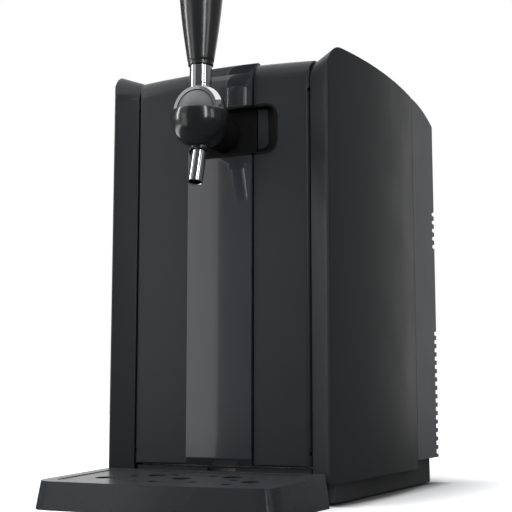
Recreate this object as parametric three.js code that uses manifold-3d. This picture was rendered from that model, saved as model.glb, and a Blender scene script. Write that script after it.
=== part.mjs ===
import * as THREE from 'three';
import { mergeVertices } from 'three/addons/utils/BufferGeometryUtils.js';
import Module from 'manifold-3d';

const wasm = await Module();
wasm.setup();

// A mini keg beer dispenser in millimetres, +Z up and the front towards -Y.
// Depths are measured from the door face. The last lines move the machine so that
// its origin is the middle of the outer box, on the table.

// Clearances
const seat = 0.35;
const running = 0.3;
const overrun = 5;
const weld = 0.0004;

// Body outline
const bodyDepth = 343;
const bodyHalfWidth = 131.5;
const widestDepth = 128.5;
const sideRadius = 788;
const seamDepth = 254;
const seamGap = 1;
const shoulderZ = 437.7;
const shoulderRise = 11.2;
const shoulderDepth = 34;
const shoulderInset = 6.5;
const shoulderX = bodyHalfWidth - shoulderInset;
const shoulderFallShare = 0.3;

// Side covers
const coverWall = 3;
const coverBottomZ = 21;
const coverLead = 12.4;
const coverNose = 3;
const coverHeel = 1.2;
const coverSetback = 2;
const coverGap = 0.8;
const coverCornerHeight = 31.5;
const coverCornerDepth = 30;
const coverReturn = 18.5;
const coverFlangeHeight = 11;

// Doors
const coverWidth = 36.1;
const doorHalfWidth = bodyHalfWidth - coverWidth;
const doorBottomZ = 34.6;
const doorCrown = 3.5;
const doorNose = 22;
const doorWall = 3;
const doorFoot = 2;
const headDepth = 27;
const headBottomZ = 400;
const headRelief = 2.2;
const hingeRadius = 5;
const leafDepth = 2 * hingeRadius;
const leafSeamShare = 0.37;
const leafSeamX = leafSeamShare * doorHalfWidth;
const leafGap = 1.6;
const sideHeadRelief = 4.8;

// Hinges
const pinRadius = 2;
const pinReach = 8;
const armThickness = 3;
const armHalfWidth = 3.3;
const armUpperZ = 394;
const armLowerZ = 45.5;
const armFootWidth = 14;
const armFootMargin = 2.4;
const armLean = 60;
const slotSkin = 1.2;
const armRoom = 2;

// Centre strip
const stripProud = 2.3;
const stripSink = 1;
const stripFootHeight = 7;
const stripFootNose = 3;
const stripBridge = 2.8;

// Recess and grip
const recessBottomZ = 338;
const recessTopZ = 384;
const recessDepth = 10;
const recessCorner = 10;
const gripWidth = 24.7;
const recessRightX = leafSeamX + gripWidth;
const cupWall = 2;
const gripLipWidth = 9;

// Door liners
const linerWall = 2;
const plugDepth = 22;
const plugGap = 2;
const plugTaper = 20.6;
const plugSeamMargin = 5.3;
const sidePlugMargin = 6.1;
const plugMargin = 3;
const flangeTopZ = 399;
const flangeBottomZ = 38;
const flangeSetback = 8;

// Keg chamber
const mouthMargin = 9.4;
const mouthHalfWidth = doorHalfWidth - mouthMargin;
const mouthBottomZ = 60;
const mouthTopZ = 386;
const frameDepth = 16;
const frameThickness = 2.5;
const frameBottomZ = 36;
const frameTopZ = 398.5;
const tubBulge = 2;
const chamberRadius = mouthHalfWidth + tubBulge;
const chamberShare = 0.379;
const chamberCentre = chamberShare * bodyDepth;
const chamberWall = 2.5;
const chamberTopZ = 388;
const foam = 17;
const foamTopZ = 414;
const gasketWidth = 5;
const gasketDepth = 3;

// Keg support ring and air nozzle
const ringMargin = 18;
const ringRadius = chamberRadius - ringMargin;
const ringWidth = 12;
const ringHeight = 5;
const nozzleInset = 9;
const nozzleX = chamberRadius - nozzleInset;
const nozzleDepth = 60;
const nozzleRadius = 3;
const nozzleBore = 1.2;
const nozzleReach = 9;
const nozzleHole = 10;

// Cooler
const coolerZ = 105;
const plateHalf = 40;
const plateDepth = 14;
const moduleHalf = 20;
const moduleThickness = 4;
const sinkHalf = 48;
const sinkBase = 7;
const finDepth = 26;
const finThickness = 1.6;
const finCount = 13;
const fanHalf = 46;
const fanDepth = 22;
const fanBore = 43;
const fanHub = 16;
const bladeCount = 7;
const bladeThickness = 1.8;
const bladeLean = 38;
const bladeCurl = 7;
const strutWidth = 5;
const strutThickness = 3;
const axlePinRadius = 2;

// Rear housing
const housingBottomZ = 30;
const housingInset = 10;
const housingHalfWidth = bodyHalfWidth - housingInset;
const housingCorner = 4;
const housingWall = 3;
const housingLip = 7;
const housingLipWall = 2.5;
const housingFall = 16.5;
const housingTopCorner = 9;
const louvrePitch = 10;
const louvreHeight = 5;
const louvreSideReach = 12;
const louvreRearReach = 34;
const louvreRise = 2;
const upperLouvreZ = 281;
const upperLouvreCount = 5;
const lowerLouvreZ = 35;
const lowerLouvreCount = 15;
const grilleHalfWidth = 38;
const grilleSlotHeight = 4;
const grilleSlotPitch = 10;
const grilleSlotCount = 8;

// Base plinth and feet
const plinthFloorZ = 2.5;
const plinthWall = 3;
const plinthInset = 14.5;
const plinthHalfWidth = bodyHalfWidth - plinthInset;
const plinthFront = 5;
const plinthSetback = 7;
const plinthRear = bodyDepth - plinthSetback;
const plinthFrontCorner = 8;
const plinthRearCorner = 22;
const deckMargin = 2.2;
const apronTopZ = 33;
const apronMargin = 1.4;
const apronHalfWidth = doorHalfWidth - apronMargin;
const hookHalfWidth = 15;
const hookBottomZ = 25.5;
const hookTopZ = 32;
const hookSlack = 1.4;
const intakeMargin = 47;
const intakeHalfWidth = plinthHalfWidth - intakeMargin;
const intakeSlotWidth = 5;
const intakeSlotPitch = 12;
const intakeSlotCount = 6;
const footRadius = 12;
const footHeight = 2.2;
const footPin = 4;
const footInset = 24;

// Top cover and controls
const topThickness = 3;
const windowHalfWidth = 26;
const windowHalfDepth = 15;
const windowDepth = 66;
const windowThickness = 2;
const windowCorner = 4;
const buttonX = 60;
const buttonRadius = 8;
const buttonProud = 1.2;
const buttonTravel = 1;
const buttonHeight = 6;
const boardThickness = 1.6;
const boardDrop = 13;

// Electrics
const supplyHalfWidth = 55;
const supplyBottomZ = 200;
const supplyHeight = 110;
const transformerHalf = 22;
const transformerDepth = 28;
const capacitorRadius = 9;
const capacitorHeight = 24;
const capacitorPitch = 21.6;
const standoff = 6;
const pumpRadius = 14;
const pumpLength = 52;
const pumpInset = 43.5;
const pumpX = housingHalfWidth - pumpInset;
const pumpZ = 232;
const pumpHeadHalf = 17;
const pumpHeadHeight = 20;
const pumpPort = 3;
const pumpPortReach = 8;
const hoseRadius = 3;
const hoseBend = 22;
const hoseShortBend = 7.8;
const hoseSides = 8;
const hoseSteps = 24;
const inletInset = 55;
const inletX = housingHalfWidth - inletInset;
const inletZ = 58;
const inletHalfWidth = 15;
const inletHalfHeight = 11;
const inletSocketWidth = 11.5;
const inletSocketHeight = 7.5;
const inletDepth = 20;
const inletSocketDepth = 15;
const inletFlange = 4;
const inletPinHalf = 1.2;
const inletPinReach = 9;
const screwRadius = 3.6;
const screwShank = 1.7;
const screwLength = 8;
const screwInset = 14;
const screwDrop = 24;

// Tap
const tapReach = 43;
const tapPivotZ = 372.5;
const bowlRadius = 28.7;
const bowlDrop = 7.4;
const hoodRadius = 26.1;
const hoodWall = 2.9;
const hoodFace = 11.5;
const earRadius = 5.5;
const coreGap = 1;
const coreStem = 10;
const leverPinRadius = 2.5;
const neckRadius = 17;
const neckZ = 360;
const shankRadius = 10;
const shankReach = 6.5;
const nutRadius = 15;
const nutThickness = 4;
const spoutRadius = 7.3;
const spoutBore = 5.8;
const spoutTilt = 15;
const spoutTopZ = 339;
const spoutTipZ = 300.5;
const bossRadius = 10;
const bossBottomZ = 333;

// Lever
const collarRadius = 11.4;
const collarTopZ = 399;
const ferruleRadius = 10.8;
const ferruleTopZ = 418;
const ferruleEdge = 1;
const studRadius = 6;
const studTopZ = 430;
const handleBaseRadius = 12.2;
const handleTopRadius = 24;
const handleTopZ = 541;
const handleBulge = 2.4;
const capHeight = 12;

// Drip tray
const trayReach = 139;
const trayBackGap = 15;
const trayInset = 14.5;
const trayHalfWidth = bodyHalfWidth - trayInset;
const trayBackZ = 30;
const trayFrontZ = 25;
const trayDraft = 4;
const trayCorner = 18;
const trayBackCorner = 5;
const trayBow = 5;
const trayRim = 13;
const trayWall = 2.5;
const trayBasinZ = 5.5;
const gridThickness = 2.5;
const gridSink = 0.6;
const gridLedge = 3;
const gridHoleLarge = 8.5;
const gridHoleSmall = 4.5;
const tongueThickness = 2.5;
const tongueZ = 26.2;
const tongueReach = 10;

// Faces on round forms
const arcSteps = 3;
const sphereSides = 20;
const roundSides = 20;
const mediumSides = 14;
const smallSides = 8;
const crownSteps = 6;
const noseSteps = 5;

// Shapes
function dropToPositions(geometry) {
  geometry.deleteAttribute('normal');
  geometry.deleteAttribute('uv');
  return mergeVertices(geometry, weld);
}

function solidOf(geometry) {
  const merged = dropToPositions(geometry.index ? geometry.toNonIndexed() : geometry);
  const vertProperties = new Float32Array(merged.attributes.position.array);
  const triVerts = new Uint32Array(merged.index.array);
  return new wasm.Manifold(new wasm.Mesh({ numProp: 3, vertProperties, triVerts }));
}

function geometryOf(solid) {
  const mesh = solid.getMesh();
  const geometry = new THREE.BufferGeometry();
  geometry.setAttribute('position', new THREE.BufferAttribute(new Float32Array(mesh.vertProperties), 3));
  geometry.setIndex(new THREE.BufferAttribute(new Uint32Array(mesh.triVerts), 1));
  return geometry;
}

// Corners are [a, b, radius]; a corner with a radius becomes an arc.
function outline(corners, steps = arcSteps) {
  const points = [];
  corners.forEach(([a, b, radius = 0], i) => {
    const corner = new THREE.Vector2(a, b);
    if (radius === 0) {
      points.push(corner);
      return;
    }
    const before = corners[(i + corners.length - 1) % corners.length];
    const after = corners[(i + 1) % corners.length];
    const into = new THREE.Vector2(before[0], before[1]).sub(corner).normalize();
    const away = new THREE.Vector2(after[0], after[1]).sub(corner).normalize();
    const half = Math.acos(THREE.MathUtils.clamp(into.dot(away), -1, 1)) / 2;
    const reach = radius / Math.tan(half);
    const middle = into.clone().add(away).normalize().multiplyScalar(radius / Math.sin(half)).add(corner);
    const from = corner.clone().addScaledVector(into, reach).sub(middle);
    const to = corner.clone().addScaledVector(away, reach).sub(middle);
    const start = from.angle();
    let sweep = to.angle() - start;
    sweep -= 2 * Math.PI * Math.round(sweep / (2 * Math.PI));
    for (let k = 0; k <= steps; k += 1) {
      const angle = start + (sweep * k) / steps;
      points.push(new THREE.Vector2(Math.cos(angle), Math.sin(angle)).multiplyScalar(radius).add(middle));
    }
  });
  return points;
}

function circle(a, b, radius, sides = roundSides) {
  return Array.from({ length: sides }, (_, k) => {
    const angle = (2 * Math.PI * k) / sides;
    return new THREE.Vector2(a + radius * Math.cos(angle), b + radius * Math.sin(angle));
  });
}

function prism(points, depth, steps = 1) {
  return new THREE.ExtrudeGeometry(new THREE.Shape(points), { depth, steps, bevelEnabled: false });
}

function upright(points, lowZ, highZ) {
  return solidOf(prism(points, highZ - lowZ).translate(0, 0, lowZ));
}

// Points are [x, z]; the prism runs from the near depth to the far depth.
function facing(points, near, far) {
  const turned = prism(points, far - near).applyMatrix4(new THREE.Matrix4().set(
    1, 0, 0, 0,
    0, 0, -1, far,
    0, 1, 0, 0,
    0, 0, 0, 1,
  ));
  return solidOf(turned);
}

// Points are [depth, z]; the prism runs from leftX to rightX, and bend and shear move its vertices.
function sideways(points, leftX, rightX, steps = 1, bend = null, shear = null) {
  const turned = prism(points, rightX - leftX, steps).applyMatrix4(new THREE.Matrix4().set(
    0, 0, 1, leftX,
    1, 0, 0, 0,
    0, 1, 0, 0,
    0, 0, 0, 1,
  ));
  if (bend) {
    const place = turned.attributes.position;
    for (let i = 0; i < place.count; i += 1) {
      place.setZ(i, place.getZ(i) + bend(place.getX(i), place.getY(i), place.getZ(i)));
      place.setY(i, place.getY(i) + (shear ? shear(place.getX(i)) : 0));
    }
  }
  return solidOf(turned);
}

function block(leftX, rightX, near, far, lowZ, highZ) {
  const geometry = new THREE.BoxGeometry(rightX - leftX, far - near, highZ - lowZ);
  return solidOf(geometry.translate((leftX + rightX) / 2, (near + far) / 2, (lowZ + highZ) / 2));
}

function ball(x, depth, z, radius) {
  return solidOf(new THREE.SphereGeometry(radius, sphereSides, sphereSides / 2).rotateX(Math.PI / 2)
    .translate(x, depth, z));
}

function rod(radius, length, sides = roundSides) {
  return new THREE.CylinderGeometry(radius, radius, length, sides).rotateX(Math.PI / 2);
}

function post(x, depth, radius, lowZ, highZ, sides = roundSides) {
  return solidOf(rod(radius, highZ - lowZ, sides).translate(x, depth, (lowZ + highZ) / 2));
}

function barrel(x, z, radius, near, far, sides = roundSides) {
  return solidOf(rod(radius, far - near, sides).rotateX(Math.PI / 2).translate(x, (near + far) / 2, z));
}

function crossbar(depth, z, radius, leftX, rightX, sides = roundSides) {
  return solidOf(rod(radius, rightX - leftX, sides).rotateY(Math.PI / 2)
    .translate((leftX + rightX) / 2, depth, z));
}

function lathe(points, x, depth) {
  const spun = new THREE.LatheGeometry(points.map(([r, z]) => new THREE.Vector2(r, z)), roundSides);
  return solidOf(spun.rotateX(Math.PI / 2).translate(x, depth, 0));
}

function mirrored(points) {
  return points.map((point) => new THREE.Vector2(-point.x, point.y));
}

function joined(solids) {
  return solids.reduce((whole, piece) => whole.add(piece));
}

function cutAll(whole, cutters) {
  return cutters.reduce((left, cutter) => left.subtract(cutter), whole);
}

// Outline of the body
function sideX(depth) {
  return bodyHalfWidth - sideRadius + Math.sqrt(sideRadius ** 2 - (depth - widestDepth) ** 2);
}

function shoulder(depth) {
  const share = Math.max(0, (depth - shoulderDepth) / (seamDepth - shoulderDepth));
  return shoulderZ + shoulderRise * share ** 3;
}

const coverInnerX = doorHalfWidth + coverGap;
const innerFall = shoulderFallShare * (shoulderX - coverInnerX);
const doorTopZ = shoulderZ - innerFall;
const deckTopZ = coverBottomZ + plinthWall;
const foamBottomZ = deckTopZ + seat;

function crown(x) {
  return doorCrown * Math.max(0, 1 - (x / coverInnerX) ** 2);
}

function doorCrownAt(x, depth, z) {
  return crown(x) * Math.max(0, (z - headBottomZ) / (doorTopZ - headBottomZ));
}

function shoulderFall(x) {
  return shoulderFallShare * (Math.max(Math.abs(x), coverInnerX) - shoulderX);
}

function shoulderLine(fromDepth, toDepth, drop, steps = crownSteps) {
  return Array.from({ length: steps + 1 }, (_, k) => {
    const depth = fromDepth + ((toDepth - fromDepth) * k) / steps;
    return [depth, shoulder(depth) - drop];
  });
}

// Side covers: a bowed shell with a bevelled front, open at the back, below and inside
function coverPlan(inset, rearDepth) {
  const steps = 12;
  const points = [[coverInnerX + inset, coverSetback + inset / 2, inset ? 0 : coverHeel]];
  const front = inset - coverLead;
  points.push([sideX(front) - inset, front, inset ? 0 : coverNose]);
  for (let k = 1; k <= steps; k += 1) {
    const depth = front + coverNose + ((rearDepth - front - coverNose) * k) / steps;
    points.push([sideX(depth) - inset, depth]);
  }
  points.push([coverInnerX + inset, rearDepth]);
  return outline(points);
}

function coverProfile(inset, lowZ) {
  const near = -coverLead - overrun;
  return outline([
    [seamDepth + overrun, lowZ],
    [near, lowZ],
    [near, shoulderZ - inset],
    ...shoulderLine(shoulderDepth, seamDepth + overrun, inset),
  ]);
}

// The front rolls over into the top along the line of the bevel, from one height all along.
const rollZ = shoulderZ - coverCornerHeight;

function bevelDepth(x) {
  const noseX = sideX(-coverLead);
  return coverSetback - ((coverSetback + coverLead) * (Math.abs(x) - coverInnerX)) / (noseX - coverInnerX);
}

function coverFall(x) {
  return shoulderFallShare * (Math.abs(x) - shoulderX);
}

function coverRoll(inset, span) {
  const steps = 8;
  const low = coverBottomZ - 2 * overrun;
  const high = shoulderZ + 2 * shoulderRise;
  const roll = Array.from({ length: steps + 1 }, (_, k) => {
    const angle = (Math.PI / 2) * (k / steps);
    return [
      coverCornerDepth - (coverCornerDepth - inset) * Math.cos(angle),
      rollZ + (coverCornerHeight - inset) * Math.sin(angle),
    ];
  });
  const points = [[bodyDepth, low], [inset, low], ...roll, [coverCornerDepth, high], [bodyDepth, high]];
  const bend = (x, depth, z) => coverFall(x) * THREE.MathUtils.clamp((z - rollZ) / coverCornerHeight, 0, 1);
  return sideways(outline(points), ...span, 1, bend, bevelDepth);
}

function sideCover(side) {
  const reach = bodyHalfWidth + overrun;
  const place = (points) => (side > 0 ? points : mirrored(points));
  const span = side > 0 ? [coverInnerX - overrun, reach] : [-reach, overrun - coverInnerX];
  const outer = upright(place(coverPlan(0, seamDepth)), coverBottomZ, shoulderZ + shoulderRise + overrun)
    .intersect(sideways(coverProfile(0, coverBottomZ), ...span, 1, coverFall))
    .intersect(coverRoll(0, span));
  const inner = upright(place(coverPlan(coverWall, seamDepth + overrun)), coverBottomZ - overrun,
    shoulderZ + shoulderRise + overrun)
    .intersect(sideways(coverProfile(coverWall, coverBottomZ - overrun), ...span, 1, coverFall))
    .intersect(coverRoll(coverWall, span));
  const inside = [coverInnerX - overrun, coverInnerX + coverWall + seat];
  const flangeZ = doorTopZ - coverFlangeHeight;
  const [left, right] = side > 0 ? inside : [-inside[1], -inside[0]];
  return cutAll(outer, [
    inner,
    block(left, right, coverReturn, seamDepth + overrun, 0, flangeZ),
    block(left, right, coverSetback, coverReturn + overrun, 0, deckTopZ + seat),
  ]);
}

// Doors: thin leaves with a deep rolled head, hinged on round columns at their outer edges
const leafProfile = [
  [0, doorBottomZ, doorFoot],
  [0, doorTopZ, doorNose],
  [headDepth, doorTopZ],
  [headDepth, headBottomZ],
  [leafDepth, headBottomZ],
  [leafDepth, doorBottomZ],
];

const leafCavityProfile = [
  [doorWall, doorBottomZ + doorWall],
  [doorWall, doorTopZ - doorWall, doorNose - doorWall],
  [headDepth - doorWall, doorTopZ - doorWall],
  [headDepth - doorWall, headBottomZ + doorWall],
  [leafDepth + overrun, headBottomZ + doorWall],
  [leafDepth + overrun, doorBottomZ + doorWall],
];

const hingeX = doorHalfWidth - hingeRadius;
const sideLeafX = leafSeamX + leafGap;

function leafPlan(side, edgeX, relief) {
  const outerX = side * doorHalfWidth;
  const thin = outline([
    [outerX, 0, hingeRadius],
    [edgeX, 0],
    [edgeX, leafDepth],
    [outerX, leafDepth, hingeRadius - seat / 4],
  ]);
  const head = outline([
    [outerX, 0, hingeRadius],
    [edgeX, 0],
    [edgeX, leafDepth],
    [edgeX + side * relief, headDepth],
    [outerX, headDepth],
  ]);
  const top = doorTopZ + doorCrown + overrun;
  return upright(thin, 0, headBottomZ).add(upright(head, headBottomZ - seat, top));
}

function hingeCuts(side) {
  const axisX = side * hingeX;
  return [armUpperZ, armLowerZ].flatMap((armZ) => {
    const slotLow = armZ - seat;
    const slotHigh = armZ + armThickness + seat;
    const slot = outline([
      [side * (doorHalfWidth + overrun), slotSkin],
      [side * (hingeX - armHalfWidth), slotSkin],
      [side * (hingeX - 3 * armHalfWidth), leafDepth + overrun],
      [side * (doorHalfWidth + overrun), leafDepth + overrun],
    ]);
    return [
      upright(slot, slotLow, slotHigh),
      post(axisX, hingeRadius, pinRadius + running, armZ - pinReach - seat,
        armZ + armThickness + pinReach + seat, smallSides),
    ];
  });
}

function leafShell(side, edgeX, relief) {
  const span = side < 0 ? [-doorHalfWidth, edgeX] : [edgeX, doorHalfWidth];
  const cavitySpan = side < 0
    ? [hingeRadius - hingeX, edgeX - doorWall]
    : [edgeX + doorWall, hingeX - hingeRadius];
  const headSpan = side < 0
    ? [cavitySpan[0], cavitySpan[1] - relief]
    : [cavitySpan[0] + relief, cavitySpan[1]];
  const cavity = sideways(outline(leafCavityProfile), ...cavitySpan, crownSteps, doorCrownAt)
    .subtract(block(cavitySpan[0] - overrun, headSpan[0], leafDepth - doorWall, headDepth,
      headBottomZ, doorTopZ))
    .subtract(block(headSpan[1], cavitySpan[1] + overrun, leafDepth - doorWall, headDepth,
      headBottomZ, doorTopZ));
  const body = sideways(outline(leafProfile, noseSteps), ...span, crownSteps, doorCrownAt)
    .intersect(leafPlan(side, edgeX, relief));
  return cutAll(body, [cavity, ...hingeCuts(side)]);
}

// The opening is a rounded rectangle split by the seam between the two leaves.
function recessOutline(inset) {
  const leftX = stripBridge - leafSeamX;
  return outline([
    [leftX - inset, recessBottomZ - inset, recessCorner + inset],
    [recessRightX + inset, recessBottomZ - inset, recessCorner + inset],
    [recessRightX + inset, recessTopZ + inset, recessCorner + inset],
    [leftX - inset, recessTopZ + inset, recessCorner + inset],
  ]);
}

function mainDoorShell() {
  const sink = [
    [-overrun, 0],
    [-overrun, doorTopZ + overrun],
    [headDepth + overrun, doorTopZ + overrun],
    [headDepth + overrun, doorTopZ - stripSink - seat],
    [stripSink + seat, doorTopZ - stripSink - seat, doorNose - stripSink - seat],
    [stripSink + seat, 0],
  ];
  const stripBed = sideways(outline(sink, noseSteps), -leafSeamX - seat, leafSeamX + overrun, crownSteps,
    doorCrownAt);
  const opening = facing(recessOutline(cupWall + seat), -overrun, leafDepth + overrun);
  return cutAll(leafShell(-1, leafSeamX, headRelief), [stripBed, opening]);
}

function frontStrip() {
  const profile = [
    [-stripProud, doorTopZ + stripProud, doorNose + stripProud],
    [headDepth - seat, doorTopZ + stripProud],
    [headDepth - seat, doorTopZ - stripSink],
    [stripSink, doorTopZ - stripSink, doorNose - stripSink],
    [stripSink, doorBottomZ],
    [0, doorBottomZ],
    [-stripProud, doorBottomZ + stripFootHeight, stripFootNose],
  ];
  const whole = sideways(outline(profile, noseSteps), -leafSeamX, leafSeamX, crownSteps, doorCrownAt);
  const headWedge = upright([
    new THREE.Vector2(leafSeamX, leafDepth),
    new THREE.Vector2(leafSeamX + overrun, leafDepth),
    new THREE.Vector2(leafSeamX + overrun, headDepth),
    new THREE.Vector2(leafSeamX - headRelief, headDepth),
  ], headBottomZ, doorTopZ + doorCrown + overrun);
  const opening = facing(recessOutline(cupWall + seat), -overrun, leafDepth + overrun);
  return cutAll(whole, [headWedge, opening]);
}

function tapRecessCup() {
  const outer = facing(recessOutline(cupWall), -stripProud, recessDepth + cupWall);
  const inner = facing(recessOutline(0), -overrun - stripProud, recessDepth);
  const beyond = block(leafSeamX, recessRightX + 2 * overrun, -overrun, recessDepth + overrun, 0, doorTopZ);
  const hole = barrel(0, neckZ, shankRadius + running, 0, recessDepth + overrun);
  return cutAll(outer, [inner, beyond, hole]);
}

function sideDoorShell() {
  const opening = facing(recessOutline(cupWall + seat), -overrun, leafDepth + overrun);
  return leafShell(1, sideLeafX, sideHeadRelief).subtract(opening);
}

function gripScoop() {
  const outer = facing(recessOutline(cupWall), 0, recessDepth + cupWall)
    .subtract(block(-leafSeamX - overrun, sideLeafX, -overrun, recessDepth + overrun, 0, doorTopZ));
  const bowl = outline([
    [sideLeafX - overrun, -overrun],
    [recessRightX + overrun, -overrun],
    [recessRightX, 0],
    [recessRightX - gripLipWidth, recessDepth, recessCorner],
    [sideLeafX - overrun, recessDepth],
  ]);
  const scoop = upright(bowl, 0, doorTopZ).intersect(facing(recessOutline(0), -2 * overrun, recessDepth));
  return outer.subtract(scoop);
}

// Door liners: moulded pans whose plugs fill the mouth of the chamber
function doorLiner(side) {
  const flangeNear = leafDepth + seat;
  const flangeFar = flangeNear + linerWall;
  const seamX = side < 0 ? leafSeamX - doorWall : sideLeafX + doorWall;
  const plugX = side < 0 ? leafSeamX - plugSeamMargin : sideLeafX + sidePlugMargin;
  const plugNearX = mouthHalfWidth - plugGap;
  const plugFarX = plugNearX - plugTaper;
  const flangeX = side * (doorHalfWidth - flangeSetback);
  const flange = block(Math.min(flangeX, seamX), Math.max(flangeX, seamX),
    flangeNear, flangeFar, flangeBottomZ, flangeTopZ - seat);
  const plug = (inset) => upright(outline([
    [side * (plugNearX - inset), inset ? 0 : flangeFar - seat],
    [side * (plugFarX - inset), plugDepth - inset],
    [plugX + side * inset, plugDepth - inset],
    [plugX + side * inset, inset ? 0 : flangeFar - seat],
  ]), mouthBottomZ + plugMargin + inset, mouthTopZ - plugMargin - inset);
  const armNotches = [armUpperZ, armLowerZ].map((armZ) => {
    const ends = [side * (doorHalfWidth + overrun), side * (hingeX - 4 * armHalfWidth)];
    return block(Math.min(...ends), Math.max(...ends), 0, headDepth, armZ - armRoom,
      armZ + armThickness + armRoom);
  });
  const cupRoom = facing(recessOutline(cupWall + seat), 0, recessDepth + cupWall + seat);
  return cutAll(flange.add(plug(0)), [plug(linerWall), cupRoom, ...armNotches]);
}

function hingeArm(side, armZ) {
  const axisX = side * hingeX;
  const lean = THREE.MathUtils.degToRad(armLean);
  const footFar = frameDepth - seat;
  const footNear = footFar - armThickness / 2;
  const length = (footFar - hingeRadius) / Math.sin(lean);
  const endX = axisX - side * length * Math.cos(lean);
  const acrossX = armHalfWidth * Math.sin(lean);
  const acrossDepth = armHalfWidth * Math.cos(lean) * side;
  const top = armZ + armThickness;
  const arm = upright([
    new THREE.Vector2(axisX - acrossX, hingeRadius - acrossDepth),
    new THREE.Vector2(axisX + acrossX, hingeRadius + acrossDepth),
    new THREE.Vector2(endX + acrossX, footFar),
    new THREE.Vector2(endX - acrossX, footFar),
  ], armZ, top);
  const knuckle = post(axisX, hingeRadius, armHalfWidth, armZ, top, smallSides);
  const pin = post(axisX, hingeRadius, pinRadius, armZ - pinReach, top + pinReach, smallSides);
  const foot = block(endX - armFootWidth / 2, endX + armFootWidth / 2, footNear, footFar,
    armZ - armFootMargin, top + armFootMargin);
  return joined([arm, knuckle, pin, foot]);
}

// Keg chamber: a moulded tub, round at the back, with a flat frame round its mouth
function tubPlan(radius, near) {
  const points = [new THREE.Vector2(radius, near)];
  const steps = 2 * crownSteps;
  for (let k = 0; k <= steps; k += 1) {
    const angle = (Math.PI * k) / steps;
    points.push(new THREE.Vector2(radius * Math.cos(angle), chamberCentre + radius * Math.sin(angle)));
  }
  points.push(new THREE.Vector2(-radius, near));
  return points;
}

function chamberLiner() {
  const frameX = coverInnerX - seat;
  const frameFar = frameDepth + frameThickness;
  const frame = block(-frameX, frameX, frameDepth, frameFar, frameBottomZ, frameTopZ);
  const tub = upright(tubPlan(chamberRadius + chamberWall, frameDepth + chamberWall / 2),
    mouthBottomZ - chamberWall, chamberTopZ + chamberWall);
  const inside = upright(tubPlan(chamberRadius, frameFar), mouthBottomZ, chamberTopZ);
  const mouth = block(-mouthHalfWidth, mouthHalfWidth, 0, frameFar + overrun, mouthBottomZ, mouthTopZ);
  const nozzleWay = post(nozzleX, nozzleDepth, nozzleRadius + running, chamberTopZ - overrun,
    chamberTopZ + overrun, smallSides);
  return cutAll(frame.add(tub), [inside, mouth, nozzleWay]);
}

const foamInner = chamberRadius + chamberWall + seat;
const foamRadius = foamInner + foam;

function chamberInsulation() {
  const near = frameDepth + frameThickness + seat;
  const outer = upright(tubPlan(foamRadius, near), foamBottomZ, foamTopZ);
  const inside = upright(tubPlan(foamInner, near - overrun), mouthBottomZ - chamberWall - seat,
    chamberTopZ + chamberWall + seat);
  const headRoom = block(-foamRadius - overrun, foamRadius + overrun, near - overrun,
    headDepth + 2 * seamGap, headBottomZ - 2 * seamGap, foamTopZ + overrun);
  const coldWindow = block(-plateHalf - seat, plateHalf + seat, chamberCentre, chamberCentre + 2 * foamRadius,
    coolerZ - plateHalf - seat, coolerZ + plateHalf + seat);
  const nozzleWay = post(nozzleX, nozzleDepth, nozzleHole, chamberTopZ, foamTopZ + overrun, smallSides);
  return cutAll(outer, [inside, headRoom, coldWindow, nozzleWay]);
}

function mouthGasket() {
  const far = frameDepth - seat;
  const ring = facing(outline([
    [-mouthHalfWidth - gasketWidth, mouthBottomZ - gasketWidth, gasketWidth],
    [mouthHalfWidth + gasketWidth, mouthBottomZ - gasketWidth, gasketWidth],
    [mouthHalfWidth + gasketWidth, mouthTopZ + gasketWidth, gasketWidth],
    [-mouthHalfWidth - gasketWidth, mouthTopZ + gasketWidth, gasketWidth],
  ]), far - gasketDepth, far);
  return ring.subtract(block(-mouthHalfWidth, mouthHalfWidth, 0, frameDepth, mouthBottomZ, mouthTopZ));
}

function kegSupport() {
  const low = mouthBottomZ + seat;
  const ring = post(0, chamberCentre, ringRadius, low, low + ringHeight);
  return ring.subtract(post(0, chamberCentre, ringRadius - ringWidth, low - overrun, low + 2 * ringHeight));
}

function airNozzle() {
  const base = chamberTopZ + chamberWall + seat;
  const flange = post(nozzleX, nozzleDepth, nozzleRadius + nozzleBore, base, base + nozzleBore, smallSides);
  const stem = post(nozzleX, nozzleDepth, nozzleRadius, chamberTopZ - nozzleReach, base + nozzleReach,
    smallSides);
  const bore = post(nozzleX, nozzleDepth, nozzleBore, 0, foamTopZ, smallSides);
  return stem.add(flange).subtract(bore);
}

// Cooler behind the chamber: cold plate, thermoelectric module, finned sink and fan
const plateFar = foamRadius + chamberCentre - foam + plateDepth;
const moduleFar = plateFar + seat + moduleThickness;
const sinkNear = moduleFar + seat;
const finFar = sinkNear + sinkBase + finDepth;
const fanNear = finFar + seat;
const fanFar = fanNear + fanDepth;

function coldPlate() {
  const slab = block(-plateHalf, plateHalf, chamberCentre, plateFar, coolerZ - plateHalf,
    coolerZ + plateHalf);
  return slab.subtract(post(0, chamberCentre, foamInner, 0, shoulderZ, 4 * crownSteps));
}

function heatSink() {
  const base = block(-sinkHalf, sinkHalf, sinkNear, sinkNear + sinkBase, coolerZ - sinkHalf,
    coolerZ + sinkHalf);
  const fins = Array.from({ length: finCount }, (_, k) => {
    const x = -sinkHalf + ((2 * sinkHalf - finThickness) * k) / (finCount - 1);
    return block(x, x + finThickness, sinkNear + sinkBase - running, finFar, coolerZ - sinkHalf,
      coolerZ + sinkHalf);
  });
  return joined([base, ...fins]);
}

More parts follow.
